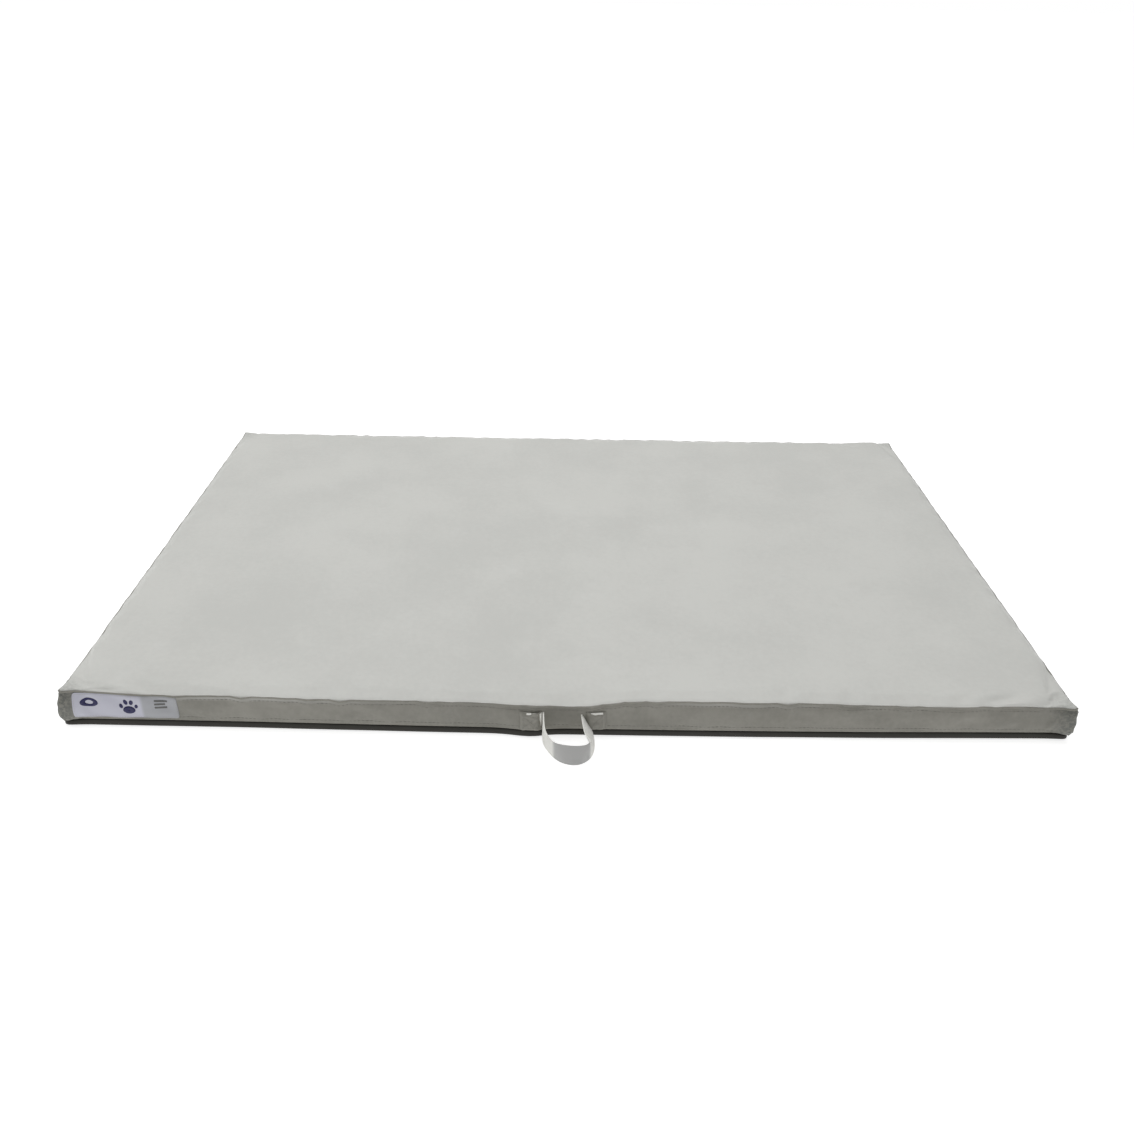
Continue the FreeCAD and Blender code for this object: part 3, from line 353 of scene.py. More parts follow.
def webbing(name, tone, shade, loop_shade):
    material, w, shader = start_material(name, Sheen_Weight=0.25, Sheen_Roughness=0.4, Specular_IOR_Level=0.3)
    out = use_group(w, "webbing_weave", own_map(w))
    base = w.mix(w.ramp(out["Shade"], 0.1, 0.85), shade, tone)
    base = w.mix(w.times(out["Fuzz"], 0.22), base, shade)
    # Painted shade on the front of the loop, where the held attribute is set.
    w.feed(shader.inputs["Base Color"], w.mix(w.times(painted(w, "held"), 0.9), base, loop_shade))
    w.feed(shader.inputs["Roughness"], w.ramp(out["Fuzz"], 0.3, 0.7, 0.7, 0.9, False))
    bump(w, shader, out["Height"], 0.35 * MM)
    return material


def moulded(name, tone, dusty, rough=0.5, grain=1400.0, dust=0.35, depth=0.05 * MM):
    material, w, shader = start_material(name, Specular_IOR_Level=0.4)
    out = use_group(w, "moulded_grain", own_place(w), Grain=grain, Dust=dust)
    base = w.mix(out["Dirt"], tone, dusty)
    w.feed(shader.inputs["Base Color"], w.mix(w.times(out["Scuff"], 0.25), base, dusty))
    w.feed(shader.inputs["Roughness"], w.plus(rough, w.times(out["Dirt"], 0.3)))
    bump(w, shader, out["Height"], depth, 0.5)
    return material


def metal(name, tone, dull, rough=0.32, line=2200.0, cloud=18.0):
    material, w, shader = start_material(name, Metallic=1.0)
    out = use_group(w, "metal_grain", own_place(w), Line=line, Cloud=cloud)
    w.feed(shader.inputs["Base Color"], w.mix(w.times(out["Oxide"], 0.6), tone, dull))
    spread = w.ramp(out["Streak"], 0.3, 0.7, rough - 0.06, rough + 0.08, False)
    w.feed(shader.inputs["Roughness"], w.plus(spread, w.times(out["Oxide"], 0.12)))
    bump(w, shader, out["Height"], 0.02 * MM, 0.4)
    return material


def open_foam(name, tone, pore_shade):
    material, w, shader = start_material(name, Roughness=0.95, Specular_IOR_Level=0.1)
    where = own_place(w)
    cells = w.cells(where, 620.0)
    rough = w.noise(where, 45.0, 5.0)
    # Painted shade in the open pores: darker towards each cell's middle.
    w.feed(shader.inputs["Base Color"], w.mix(w.ramp(cells, 0.15, 0.6), pore_shade, tone))
    bump(w, shader, w.plus(cells, w.times(rough, 0.6)), 0.8 * MM)
    return material


def circuit_board(name):
    """Green lacquer over copper runs, with pale pads."""
    material, w, shader = start_material(name, Roughness=0.28, Coat_Weight=0.4)
    where = own_place(w)
    brick = w.node("ShaderNodeTexBrick", {"Vector": where, "Scale": 160.0, "Mortar Size": 0.09, "Bias": 0.0})
    runs = w.ramp(brick.outputs["Fac"], 0.3, 0.7)
    pads = w.ramp(w.cells(where, 330.0), 0.16, 0.12)
    base = w.mix(runs, (0.012, 0.10, 0.040), (0.02, 0.20, 0.07))
    w.feed(shader.inputs["Base Color"], w.mix(pads, base, (0.62, 0.60, 0.50)))
    w.feed(shader.inputs["Metallic"], w.times(pads, 0.8))
    bump(w, shader, w.plus(runs, pads), 0.05 * MM)
    return material


def paper_honeycomb(name):
    material, w, shader = start_material(name, Roughness=0.9)
    where = own_place(w)
    hexagons = {"Vector": where, "Scale": 90.0, "Randomness": 0.0}
    edge = w.node("ShaderNodeTexVoronoi", hexagons, feature="DISTANCE_TO_EDGE")
    wall = w.ramp(edge.outputs["Distance"], 0.03, 0.12)
    fibre = w.noise(w.stretched(where, (60, 900, 900)), 1.0, 4.0)
    # Painted shade inside the open cells: pale paper walls, dark cell middles.
    base = w.mix(wall, (0.62, 0.48, 0.30), (0.20, 0.14, 0.08))
    w.feed(shader.inputs["Base Color"], w.mix(w.times(fibre, 0.4), base, (0.75, 0.62, 0.42)))
    bump(w, shader, w.math("SUBTRACT", 1.0, wall), 0.8 * MM)
    return material


def printed_can(name):
    """Battery sleeve: a dark body with a copper band at one end, told apart along X, and no lettering."""
    material, w, shader = start_material(name, Coat_Weight=0.5, Metallic=0.6)
    where = own_place(w)
    along = w.split(where)[0]
    band = w.ramp(along, 11 * MM, 11.2 * MM)
    streak = w.noise(w.stretched(where, (20, 900, 900)), 1.0)
    w.feed(shader.inputs["Base Color"], w.mix(band, (0.03, 0.03, 0.035), (0.72, 0.38, 0.16)))
    w.feed(shader.inputs["Roughness"], w.ramp(streak, 0.3, 0.7, 0.22, 0.36, False))
    return material


def label_film(name):
    """Pale printed film: a cooler field on the left, a greyer end on the right, under a soft gloss."""
    material, w, shader = start_material(name, Coat_Weight=0.15, Coat_Roughness=0.3)
    where = own_place(w)
    along = w.split(where)[0]
    turn = LABEL_LOW.x + (LABEL_HIGH.x - LABEL_LOW.x) * 0.66
    end = w.ramp(along, turn - 3 * MM, turn + 3 * MM)
    cloud = w.noise(where, 60.0, 5.0)
    base = w.mix(end, (0.43, 0.43, 0.50), (0.28, 0.285, 0.30))
    w.feed(shader.inputs["Base Color"], w.mix(w.times(cloud, 0.3), base, (0.55, 0.56, 0.60)))
    w.feed(shader.inputs["Roughness"], w.ramp(cloud, 0.3, 0.7, 0.42, 0.56, False))
    bump(w, shader, w.noise(where, 420.0, 3.0), 0.06 * MM, 0.5)
    return material


def spun_thread(name, tone, shade):
    material, w, shader = start_material(name, Roughness=0.7, Sheen_Weight=0.2)
    where = own_place(w)
    twist = w.noise(w.stretched(where, (2400, 2400, 5200)), 1.0, 2.0)
    w.feed(shader.inputs["Base Color"], w.mix(twist, shade, tone))
    bump(w, shader, twist, 0.1 * MM)
    return material


# Each finish: what makes it, and the values that go in after its name.
FINISHES = {
    # Cover cloths: tone, deep and pale, then the colour of the painted shade in the corner gathers.
    "cover_cloth": (
        coated_cloth, (0.625, 0.627, 0.596), (0.575, 0.578, 0.55), (0.68, 0.682, 0.66), (0.28, 0.29, 0.27)
    ),
    # The side cloth is the top's cloth in painted shade: a darker copy for the upright faces, which take less
    # light.
    "cover_side_cloth": (
        coated_cloth, (0.25, 0.242, 0.212), (0.19, 0.185, 0.16), (0.33, 0.325, 0.30), (0.10, 0.105, 0.094),
        0.5,
    ),
    "label_film": (label_film,),
    "label_ink": (moulded, (0.008, 0.008, 0.062), (0.02, 0.02, 0.09), 0.45, 2400.0, 0.4),
    "grey_ink": (moulded, (0.11, 0.11, 0.105), (0.17, 0.17, 0.165), 0.5, 2400.0, 0.4),
    # Webbing: tone, weave shade, then the colour of the painted shade on the loop's front.
    "webbing": (webbing, (0.92, 0.915, 0.875), (0.68, 0.675, 0.63), (0.42, 0.42, 0.415)),
    "thread": (spun_thread, (0.52, 0.52, 0.49), (0.30, 0.30, 0.27)),
    # The side thread is darkened like the side cloth, as painted shade.
    "side_thread": (spun_thread, (0.24, 0.235, 0.21), (0.13, 0.125, 0.11)),
    "foam": (open_foam, (0.62, 0.60, 0.50), (0.30, 0.28, 0.21)),
    "honeycomb": (paper_honeycomb,),
    "aluminium": (metal, (0.80, 0.81, 0.82), (0.58, 0.59, 0.60)),
    "tray_metal": (moulded, (0.022, 0.021, 0.019), (0.085, 0.083, 0.078), 0.42, 900.0, 0.3, 0.08 * MM),
    "steel": (metal, (0.66, 0.65, 0.63), (0.42, 0.41, 0.39), 0.28, 3200.0, 60.0),
    "black_plastic": (moulded, (0.018, 0.0165, 0.012), (0.06, 0.057, 0.05), 0.5, 1500.0, 0.25),
    "grey_plastic": (moulded, (0.36, 0.37, 0.37), (0.52, 0.52, 0.50), 0.45, 1600.0, 0.3),
    "rubber": (moulded, (0.02, 0.02, 0.02), (0.12, 0.115, 0.105), 0.75, 700.0, 0.6, 0.12 * MM),
    "cable_sheath": (moulded, (0.03, 0.03, 0.032), (0.10, 0.10, 0.10), 0.38, 1800.0, 0.3),
    "circuit": (circuit_board,),
    "battery_can": (printed_can,),
    "hook_tape": (moulded, (0.05, 0.05, 0.05), (0.13, 0.13, 0.13), 0.9, 560.0, 0.5, 0.8 * MM),
}
FINISH = {name: build(name, *values) for name, (build, *values) in FINISHES.items()}


def finish_nodes():
    """Every carried-over node takes the procedural finish of its own slot."""
    for part in frame["record"]["subparts"]:
        mesh = NODES[part["node"]].data
        mesh.materials.clear()
        mesh.materials.append(FINISH[part["material_slot"]])


# ---------------------------------------------------------------- mesh helpers
def make_piece(name, points, faces, finish, uv=None, smooth=True):
    """A mesh object at the origin. uv gives one (u, v) for each point."""
    mesh = bpy.data.meshes.new(name)
    mesh.from_pydata([tuple(p) for p in points], [], faces)
    if uv:
        layer = mesh.uv_layers.new(name="UVMap")
        for loop in mesh.loops:
            layer.data[loop.index].uv = uv[loop.vertex_index]
    mesh.materials.append(FINISH[finish])
    for polygon in mesh.polygons:
        polygon.use_smooth = smooth
    mesh.update()
    piece = bpy.data.objects.new(name, mesh)
    bpy.context.scene.collection.objects.link(piece)
    return piece


def paint(piece, name, shares):
    """Puts one number on each point of a piece, for its material to read."""
    layer = piece.data.attributes.new(name, "FLOAT", "POINT")
    layer.data.foreach_set("value", shares)


def strip_faces(rows, columns, closed=False):
    """Quads over a grid of points that are stored row after row."""
    faces = []
    for r in range(rows - 1):
        low, high = r * columns, (r + 1) * columns
        for c in range(columns if closed else columns - 1):
            following = (c + 1) % columns
            faces.append((low + c, low + following, high + following, high + c))
    return faces


def face_outwards(piece):
    work = bmesh.new()
    work.from_mesh(piece.data)
    bmesh.ops.recalc_face_normals(work, faces=work.faces)
    work.to_mesh(piece.data)
    work.free()
    return piece


def subdivide(piece, levels=1):
    modifier = piece.modifiers.new("subdivision", "SUBSURF")
    modifier.levels = modifier.render_levels = levels
    modifier.boundary_smooth = "PRESERVE_CORNERS"
    return piece


def thicken(piece, amount):
    """A wall inwards from the surface."""
    modifier = piece.modifiers.new("thickness", "SOLIDIFY")
    modifier.thickness = amount
    modifier.offset = -1
    return piece


def ease(t):
    """A smooth step from 0 to 1."""
    t = min(max(t, 0), 1)
    return t * t * (3 - 2 * t)


def hill(x, middle, left, right):
    """A bell with a width of its own on each side."""
    width = left if x < middle else right
    return math.exp(-(((x - middle) / width) ** 2))


# ---------------------------------------------------------------- the padded cover
SEAM_DROP = 3.6 * MM
EDGE_ROLL = 10 * MM
CROWN = 1.6 * MM
SAG_OUT, SAG_DOWN = 5.6 * MM, 5.0 * MM
SIDE_BULGE = {"left": 2.2 * MM, "right": 2.4 * MM, "rear": 2.0 * MM, "front": 0.0}
BAND_ROWS = 10
BAND_BELLY = 1.6 * MM
GATHER = 32 * MM
PUCKER_STEP = 7.5 * MM
# How far each corner stands out, in millimetres, at these shares of the way down from the seam to the hem.
EAR_SHARES = (0.0, 0.12, 0.35, 0.7, 1.0)
EARS = {
    ("left", "front"): (5.0, 5.5, 6.5, 7.8, 7.0),
    ("right", "front"): (5.5, 7.0, 6.0, 6.5, 6.8),
    ("left", "rear"): (3.0, 3.0, 3.0, 3.0, 2.0),
    ("right", "rear"): (3.0, 3.0, 3.0, 3.0, 2.0),
}
EAR_UP = 0.8 * MM
CORNER_HANG = 1.5 * MM
LEFT_PULL_BACK, LEFT_PULL_UP, LEFT_PULL_REACH = 4.5 * MM, 1.4 * MM, 110 * MM
# Long soft folds of the top sheet: both ends in plan, height and width.
TOP_FOLDS = [
    ((0.30, 0.10), (0.50, -0.01), 0.9 * MM, 22 * MM),
    ((0.08, -0.13), (0.22, -0.24), 0.8 * MM, 26 * MM),
    ((0.20, -0.06), (0.36, -0.17), 0.6 * MM, 30 * MM),
    ((-0.42, 0.26), (-0.50, -0.10), 0.6 * MM, 34 * MM),
    ((0.36, 0.30), (0.52, 0.22), 0.5 * MM, 26 * MM),
    ((-0.20, -0.24), (-0.05, -0.33), 0.7 * MM, 30 * MM),
    ((0.44, -0.20), (0.56, -0.33), 0.7 * MM, 22 * MM),
]


def grid_stations(half):
    """Places from one edge to the other: close together at a corner, wide apart in the middle."""
    corner = [half - COVER_CORNER * n / 5 for n in range(6)]
    near = [half - COVER_CORNER - 2.6 * MM * n for n in range(1, 11)]
    inner = near[-1]
    steps = round(2 * inner / (13 * MM))
    middle = [-inner + 2 * inner * n / steps for n in range(1, steps)]
    upper = sorted(corner + near)
    return [-x for x in reversed(upper)] + middle + upper


def round_corner(x, y):
    """Draws the square corner of the grid in to the corner's radius."""
    over_x = abs(x) - (HALF_LENGTH - COVER_CORNER)
    over_y = abs(y) - (HALF_DEPTH - COVER_CORNER)
    if over_x <= 0 or over_y <= 0:
        return x, y
    shrink = max(over_x, over_y) / math.hypot(over_x, over_y)
    new_x = HALF_LENGTH - COVER_CORNER + over_x * shrink
    new_y = HALF_DEPTH - COVER_CORNER + over_y * shrink
    return math.copysign(new_x, x), math.copysign(new_y, y)


def front_sag(x):
    """How far the front edge gives way beside the handle, from 0 to 1."""
    beside = 0.42 * hill(x, -265 * MM, 110 * MM, 140 * MM) + 0.2 * hill(x, 440 * MM, 110 * MM, 70 * MM)
    return hill(x, 8 * MM, 150 * MM, 46 * MM) + beside


def skirt_wave(x):
    """How far the front's lower edge stands forward: a long bow, and a bulge just left of the handle."""
    away = abs(x - 100 * MM) / (450 * MM)
    return 1.6 * MM + 7.2 * MM * math.exp(-(away**2.6)) + 4.4 * MM * hill(x, -47 * MM, 26 * MM, 20 * MM)


def pull_sides(x, y, t=0.0):
    """Bows the sides of the pad outwards in plan, t of the way from the seam down to the hem."""
    bow_x = 1 - (y / HALF_DEPTH) ** 24
    bow_y = 1 - (x / HALF_LENGTH) ** 24
    reach_x = abs(x / HALF_LENGTH) ** 6
    reach_y = abs(y / HALF_DEPTH) ** 6
    side = "left" if x < 0 else "right"
    share = 1 - 0.25 * t
    dx = math.copysign(SIDE_BULGE[side] * bow_x * reach_x, x) * share
    if y > 0:
        dy = SIDE_BULGE["rear"] * bow_y * reach_y * share
    else:
        dy = -(SAG_OUT * front_sag(x) * (1 - t) + skirt_wave(x) * t) * reach_y
        dy += LEFT_PULL_BACK * left_pull(x) * (1 - t) * reach_y
    ear = ear_out(x, y, t) / math.sqrt(2)
    return Vector((x + dx + math.copysign(ear, x), y + dy + math.copysign(ear, y)))


def left_pull(x):
    """How far the label's end of the front seam is drawn back over the edge, from 0 to 1."""
    return ease(1 - (x + HALF_LENGTH) / LEFT_PULL_REACH)


def ear_out(x, y, t):
    """How far the gathered corner stands out along its diagonal."""
    share = corner_share(x, y) ** (5 - 3 * ease(t / 0.25))
    reach = EARS["left" if x < 0 else "right", "rear" if y > 0 else "front"]
    step = max(n for n, place in enumerate(EAR_SHARES[:-1]) if t >= place)
    part = ease((t - EAR_SHARES[step]) / (EAR_SHARES[step + 1] - EAR_SHARES[step]))
    return share * MM * (reach[step] + (reach[step + 1] - reach[step]) * part)


def corner_hang(x, y):
    """How far the hem hangs down at a front corner."""
    return CORNER_HANG * corner_share(x, y) ** 8 if y < 0 else 0.0


def corner_share(x, y):
    """1 at a corner, falling to 0 where its gathers end."""
    away = math.hypot(HALF_LENGTH - abs(x), HALF_DEPTH - abs(y))
    return 1 - ease((away - 0.4 * COVER_CORNER) / GATHER)


def pucker(x, y, t):
    """Gathers that spread from the corner's upright seam, and get finer towards the hem."""
    place = (HALF_LENGTH - abs(x)) - (HALF_DEPTH - abs(y))
    wander = noise.noise(Vector((x * 40, y * 40, t * 5)))
    upright = math.sin(math.tau * place / PUCKER_STEP + 2.4 * wander + 1.3 * t)
    across = noise.noise(Vector((place * 90, t * 9 + math.copysign(3, x), math.copysign(5, y))))
    return 0.6 * upright + 1.1 * across


def top_height(x, y):
    """Height of the top sheet: a slight crown, an edge that rolls over, and the folds."""
    edge = min(HALF_LENGTH - abs(x), HALF_DEPTH - abs(y))
    inward = min(max(edge / EDGE_ROLL, 0), 1)
    roll = 1 - math.sqrt(1 - (1 - inward) ** 2.4)
    crown = CROWN * (1 - (x / HALF_LENGTH) ** 4) * (1 - (y / HALF_DEPTH) ** 4)
    z = TOP - 1.0 * MM + crown - SEAM_DROP * roll
    if y < 0:
        near = ease((-y - HALF_DEPTH + 0.08) / 0.08)
        z += (LEFT_PULL_UP * left_pull(x) - SAG_DOWN * front_sag(x)) * near
    gather = corner_share(x, y)
    z += gather**2 * EAR_UP + gather * (1 - roll) * 0.5 * MM * pucker(x, y, 0)
    fade = ease(edge / (40 * MM))
    for one, two, height, width in TOP_FOLDS:
        z += fade * height * fold_profile(Vector((x, y)), Vector(one), Vector(two), width)
    swell = noise.noise(Vector((x * 5.0, y * 5.0, 3.1))) + 0.4 * noise.noise(Vector((x * 14, y * 14, 9)))
    rim_swell = (1 - fade) * 0.7 * MM * noise.noise(Vector((x * 24, y * 24, 6)))
    return z + fade * 0.9 * MM * swell + rim_swell


def fold_profile(spot, one, two, width):
    """A ridge with a shallow valley beside it, fading out at both ends."""
    run = two - one
    along = (spot - one).dot(run) / run.length_squared
    if not -0.3 < along < 1.3:
        return 0.0
    wander = 0.25 * width * math.sin(along * 5.0 + width * 900)
    away = ((spot - one).cross(run) / run.length + wander) / width
    ends = ease((along + 0.3) / 0.6) * ease((1.3 - along) / 0.6)
    return ends * (math.exp(-(away**2)) - 0.55 * math.exp(-((away - 1.3) ** 2)))


def cover_points():
    """The points of the pad: top grid, side rows and bottom grid, closed, with each face's panel."""
    xs, ys = grid_stations(HALF_LENGTH), grid_stations(HALF_DEPTH)
    columns, rows = len(xs), len(ys)
    points, shares = [], []
    for y in ys:
        for x in xs:
            px, py = round_corner(x, y)
            place = pull_sides(px, py)
            points.append(Vector((place.x, place.y, top_height(px, py))))
            shares.append((corner_share(px, py), edge_highlight_share(px, py, 0)))
    rim = list(range(columns))
    rim += [r * columns + columns - 1 for r in range(1, rows)]
    rim += [(rows - 1) * columns + c for c in range(columns - 2, -1, -1)]
    rim += [r * columns for r in range(rows - 2, 0, -1)]
    faces = strip_faces(rows, columns)
    panels = ["top"] * len(faces)
    flat_rim = [round_corner(xs[n % columns], ys[n // columns]) for n in rim]
    start = len(points)
    for row in range(1, BAND_ROWS + 1):
        t = row / BAND_ROWS
        points += [band_point(points[n], flat, t) for n, flat in zip(rim, flat_rim)]
        shares += [(corner_share(*flat), edge_highlight_share(*flat, t)) for flat in flat_rim]
    count = len(rim)
    previous = rim
    for row in range(BAND_ROWS):
        current = [start + row * count + n for n in range(count)]
        for n in range(count):
            faces.append((previous[n], current[n], current[(n + 1) % count], previous[(n + 1) % count]))
            one, two = flat_rim[n], flat_rim[(n + 1) % count]
            panels.append(side_of((one[0] + two[0]) / 2, (one[1] + two[1]) / 2))
        previous = current
    faces.append(tuple(reversed(previous)))
    panels.append("bottom")
    return points, faces, panels, rim, flat_rim, shares


def side_of(x, y):
    over_x, over_y = HALF_LENGTH - abs(x), HALF_DEPTH - abs(y)
    if over_y < over_x:
        return "rear" if y > 0 else "front"
    return "right" if x > 0 else "left"


def band_point(seam, flat, t):
    """A point of the side band, t of the way from the seam down to the hem."""
    x, y = flat
    outward = rim_normal(x, y)
    belly = math.sin(math.pi * min(1.0, t * 1.04)) ** 0.8
    gather = corner_share(x, y)
    folds = noise.noise(Vector((x * 7 + 5, y * 7, t * 2.6)))
    folds += 0.5 * noise.noise(Vector((x * 23, y * 23, t * 4)))
    puff = belly * (BAND_BELLY + 1.0 * MM * gather)
    puff += (1 - gather) * 1.3 * MM * folds * math.sin(math.pi * min(t + 0.1, 1))
    puff += gather * 1.3 * MM * pucker(x, y, t) * ease(t / 0.15)
    tuck = -(1.2 + 1.6 * gather) * MM * ease((t - 0.8) / 0.2)
    low = HEM_EDGE - corner_hang(x, y) + 0.25 * MM * noise.noise(Vector((x * 11, y * 11, 4)))
    base = pull_sides(x, y, t)
    place = Vector((base.x, base.y)) + outward * (puff + tuck)
    return Vector((place.x, place.y, seam.z + (low - seam.z) * t))


def edge_highlight_share(x, y, t):
    """Where a painted highlight makes the front's upper edge pale, as where it rolls over into the light: two
    stretches that fade at their ends.
    """
    if y > -HALF_DEPTH + COVER_CORNER:
        return 0.0
    stretch = 0.95 * hill(x, -0.40, 0.12, 0.16) + 0.75 * hill(x, 0.19, 0.07, 0.09)
    return min(stretch, 1.0) * (1 - ease((t - 0.06) / 0.12))


def rim_normal(x, y):
    """The outward direction of the outline in plan."""
    corner_x, corner_y = HALF_LENGTH - COVER_CORNER, HALF_DEPTH - COVER_CORNER
    over = Vector((max(0, abs(x) - corner_x), max(0, abs(y) - corner_y)))
    if over.length < 1e-6:
        over = Vector((0, 1)) if HALF_DEPTH - abs(y) < HALF_LENGTH - abs(x) else Vector((1, 0))
    if over.x < 1e-6 or over.y < 1e-6:
        over = Vector((0, 1)) if over.y > over.x else Vector((1, 0))
    over.normalize()
    return Vector((math.copysign(over.x, x), math.copysign(over.y, y)))


SIM_FRAMES = 20
SIM_CAP = 2.4 * MM
SEAM_HOLD = 0.75


def inflate(points, faces, rim):
    """Cloth under slight pressure from the foam: slack cloth buckles into small wrinkles round its seams."""
    mesh = bpy.data.meshes.new("cloth_trial")
    mesh.from_pydata([tuple(p) for p in points], [], faces)
    trial = bpy.data.objects.new("cloth_trial", mesh)
    bpy.context.scene.collection.objects.link(trial)
    held = trial.vertex_groups.new(name="held")
    held.add(rim, SEAM_HOLD, "REPLACE")
    lowest = min(p.z for p in points)
    held.add([n for n, p in enumerate(points) if p.z < lowest + 2 * MM], 1.0, "REPLACE")
    modifier = trial.modifiers.new("cloth", "CLOTH")
    cloth = modifier.settings
    cloth.quality = 6
    cloth.mass = 0.25
    cloth.tension_stiffness = cloth.compression_stiffness = 25
    cloth.shear_stiffness = 8
    cloth.bending_stiffness = 0.4
    cloth.use_pressure = True
    cloth.uniform_pressure_force = 4.0
    cloth.effector_weights.gravity = 0
    cloth.shrink_min = -0.012
    cloth.vertex_group_mass = "held"
    cloth.pin_stiffness = 1.5
    modifier.point_cache.frame_start = 1
    modifier.point_cache.frame_end = SIM_FRAMES
    scene = bpy.context.scene
    for step in range(1, SIM_FRAMES + 1):
        scene.frame_set(step)
    settled = trial.evaluated_get(bpy.context.evaluated_depsgraph_get()).to_mesh()
    moved = []
    for start, vertex in zip(points, settled.vertices):
        shift = vertex.co - start
        if shift.length > SIM_CAP:
            shift *= SIM_CAP / shift.length
        moved.append(start + shift)
    bpy.data.objects.remove(trial)
    scene.frame_set(1)
    return moved


def build_cover():
    """The made-up cover: one top sheet and four side bands, cut from one inflated form."""
    points, faces, panels, rim, flat_rim, shares = cover_points()
    points = inflate(points, faces, rim)
    pieces = {}
    for panel in ("top", "front", "rear", "left", "right"):
        chosen = [face for face, name in zip(faces, panels) if name == panel]
        used = sorted({n for face in chosen for n in face})
        index = {n: k for k, n in enumerate(used)}
        own = [points[n] for n in used]
        own_faces = [tuple(index[n] for n in face) for face in chosen]
        finish = "cover_cloth" if panel == "top" else "cover_side_cloth"
        piece = make_piece(f"cover_{panel}_sheet", own, own_faces, finish)
        marks = [shares[n] for n in used]
        # The gather attribute carries the painted shade of the corner gathers, weaker on the top sheet.
        paint(piece, "gather", [mark[0] * (0.45 if panel == "top" else 0.95) for mark in marks])
        if panel == "front":
            # The painted highlight along the front's upper edge.
            paint(piece, "painted_edge_highlight", [mark[1] for mark in marks])
        subdivide(piece)
        thicken(piece, 1.0 * MM)
        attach(piece, "deck")
        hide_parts(f"cover_{panel}")
        pieces[panel] = piece
    seam = [points[n] for n in rim]
    return pieces, seam, flat_rim


# ---------------------------------------------------------------- things that repeat or follow a path
def node_tree(name, inputs):
    """A geometry node tree with a path coming in, named sizes, and geometry going out."""
    tree = bpy.data.node_groups.new(name, "GeometryNodeTree")
    tree.interface.new_socket("Path", in_out="INPUT", socket_type="NodeSocketGeometry")
    for label, amount in inputs:
        socket = tree.interface.new_socket(label, in_out="INPUT", socket_type="NodeSocketFloat")
        socket.default_value = amount
    tree.interface.new_socket("Geometry", in_out="OUTPUT", socket_type="NodeSocketGeometry")
    w = Wiring(tree)
    inside = tree.nodes.new("NodeGroupInput").outputs
    curve = w.node("GeometryNodeMeshToCurve", {"Mesh": inside["Path"]}).outputs[0]
    return w, inside, curve


def close_tree(w, geometry, finish):
    real = w.node("GeometryNodeRealizeInstances", {"Geometry": geometry}).outputs[0]
    smooth = w.node("GeometryNodeSetShadeSmooth", {"Geometry": real}).outputs[0]
    done = w.node("GeometryNodeSetMaterial", {"Geometry": smooth, "Material": FINISH[finish]}).outputs[0]
    w.feed(w.tree.nodes.new("NodeGroupOutput").inputs[0], done)
    return w.tree


def stitch_tree(finish):
    """Stitches of one length, laid end to end with a gap along each path."""
    w, inside, curve = node_tree(
        f"stitches_{finish}", [("Pitch", 5 * MM), ("Stitch", 3.6 * MM), ("Thread", 0.35 * MM)]
    )
    pitch = {"Curve": curve, "Length": inside["Pitch"]}
    laid = w.node("GeometryNodeResampleCurve", pitch, mode="LENGTH").outputs[0]
    tangent = w.node("GeometryNodeInputTangent").outputs[0]
    turn = w.node("FunctionNodeAlignRotationToVector", {"Vector": tangent}, axis="Z").outputs[0]
    half = w.times(inside["Stitch"], 0.5)
    thread = inside["Thread"]
    size = w.node("ShaderNodeCombineXYZ", {"X": thread, "Y": thread, "Z": half}).outputs[0]
    bead = w.node("GeometryNodeMeshUVSphere", {"Segments": 6, "Rings": 4, "Radius": 1.0}).outputs[0]
    rows = w.node(
        "GeometryNodeInstanceOnPoints", {"Points": laid, "Instance": bead, "Rotation": turn, "Scale": size}
    ).outputs[0]
    return close_tree(w, rows, finish)


def welt_tree(finish):
    """A round welt that follows each path."""
    w, inside, curve = node_tree(f"welt_{finish}", [("Thick", 1.2 * MM)])
    circle = {"Resolution": 8, "Radius": inside["Thick"]}
    ring = w.node("GeometryNodeCurvePrimitiveCircle", circle, mode="RADIUS").outputs[0]
    tube = w.node("GeometryNodeCurveToMesh", {"Curve": curve, "Profile Curve": ring, "Fill Caps": True})
    return close_tree(w, tube.outputs[0], finish)


def grow(name, paths, tree, body, slot, closed=False, **amounts):
    """Runs a tree along paths and leaves a plain mesh that rides on a body."""
    points, edges = [], []
    for path in paths:
        first = len(points)
        points += [tuple(p) for p in path]
        edges += [(first + n, first + n + 1) for n in range(len(path) - 1)]
        if closed:
            edges.append((len(points) - 1, first))
    mesh = bpy.data.meshes.new(f"{name}_path")
    mesh.from_pydata(points, edges, [])
    guide = bpy.data.objects.new(f"{name}_path", mesh)
    bpy.context.scene.collection.objects.link(guide)
    modifier = guide.modifiers.new("grow", "NODES")
    modifier.node_group = tree
    sockets = {item.name: item.identifier for item in tree.interface.items_tree if item.in_out == "INPUT"}
    for label, amount in amounts.items():
        modifier[sockets[label]] = amount
    seen = guide.evaluated_get(bpy.context.evaluated_depsgraph_get())
    piece = bpy.data.objects.new(name, bpy.data.meshes.new_from_object(seen))
    bpy.data.objects.remove(guide)
    bpy.context.scene.collection.objects.link(piece)
    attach(piece, body)
    return piece


def settled_mesh(piece):
    """Turns a piece's modifiers into plain mesh."""
    seen = piece.evaluated_get(bpy.context.evaluated_depsgraph_get())
    mesh = bpy.data.meshes.new_from_object(seen)
    piece.modifiers.clear()
    piece.data = mesh
    return piece


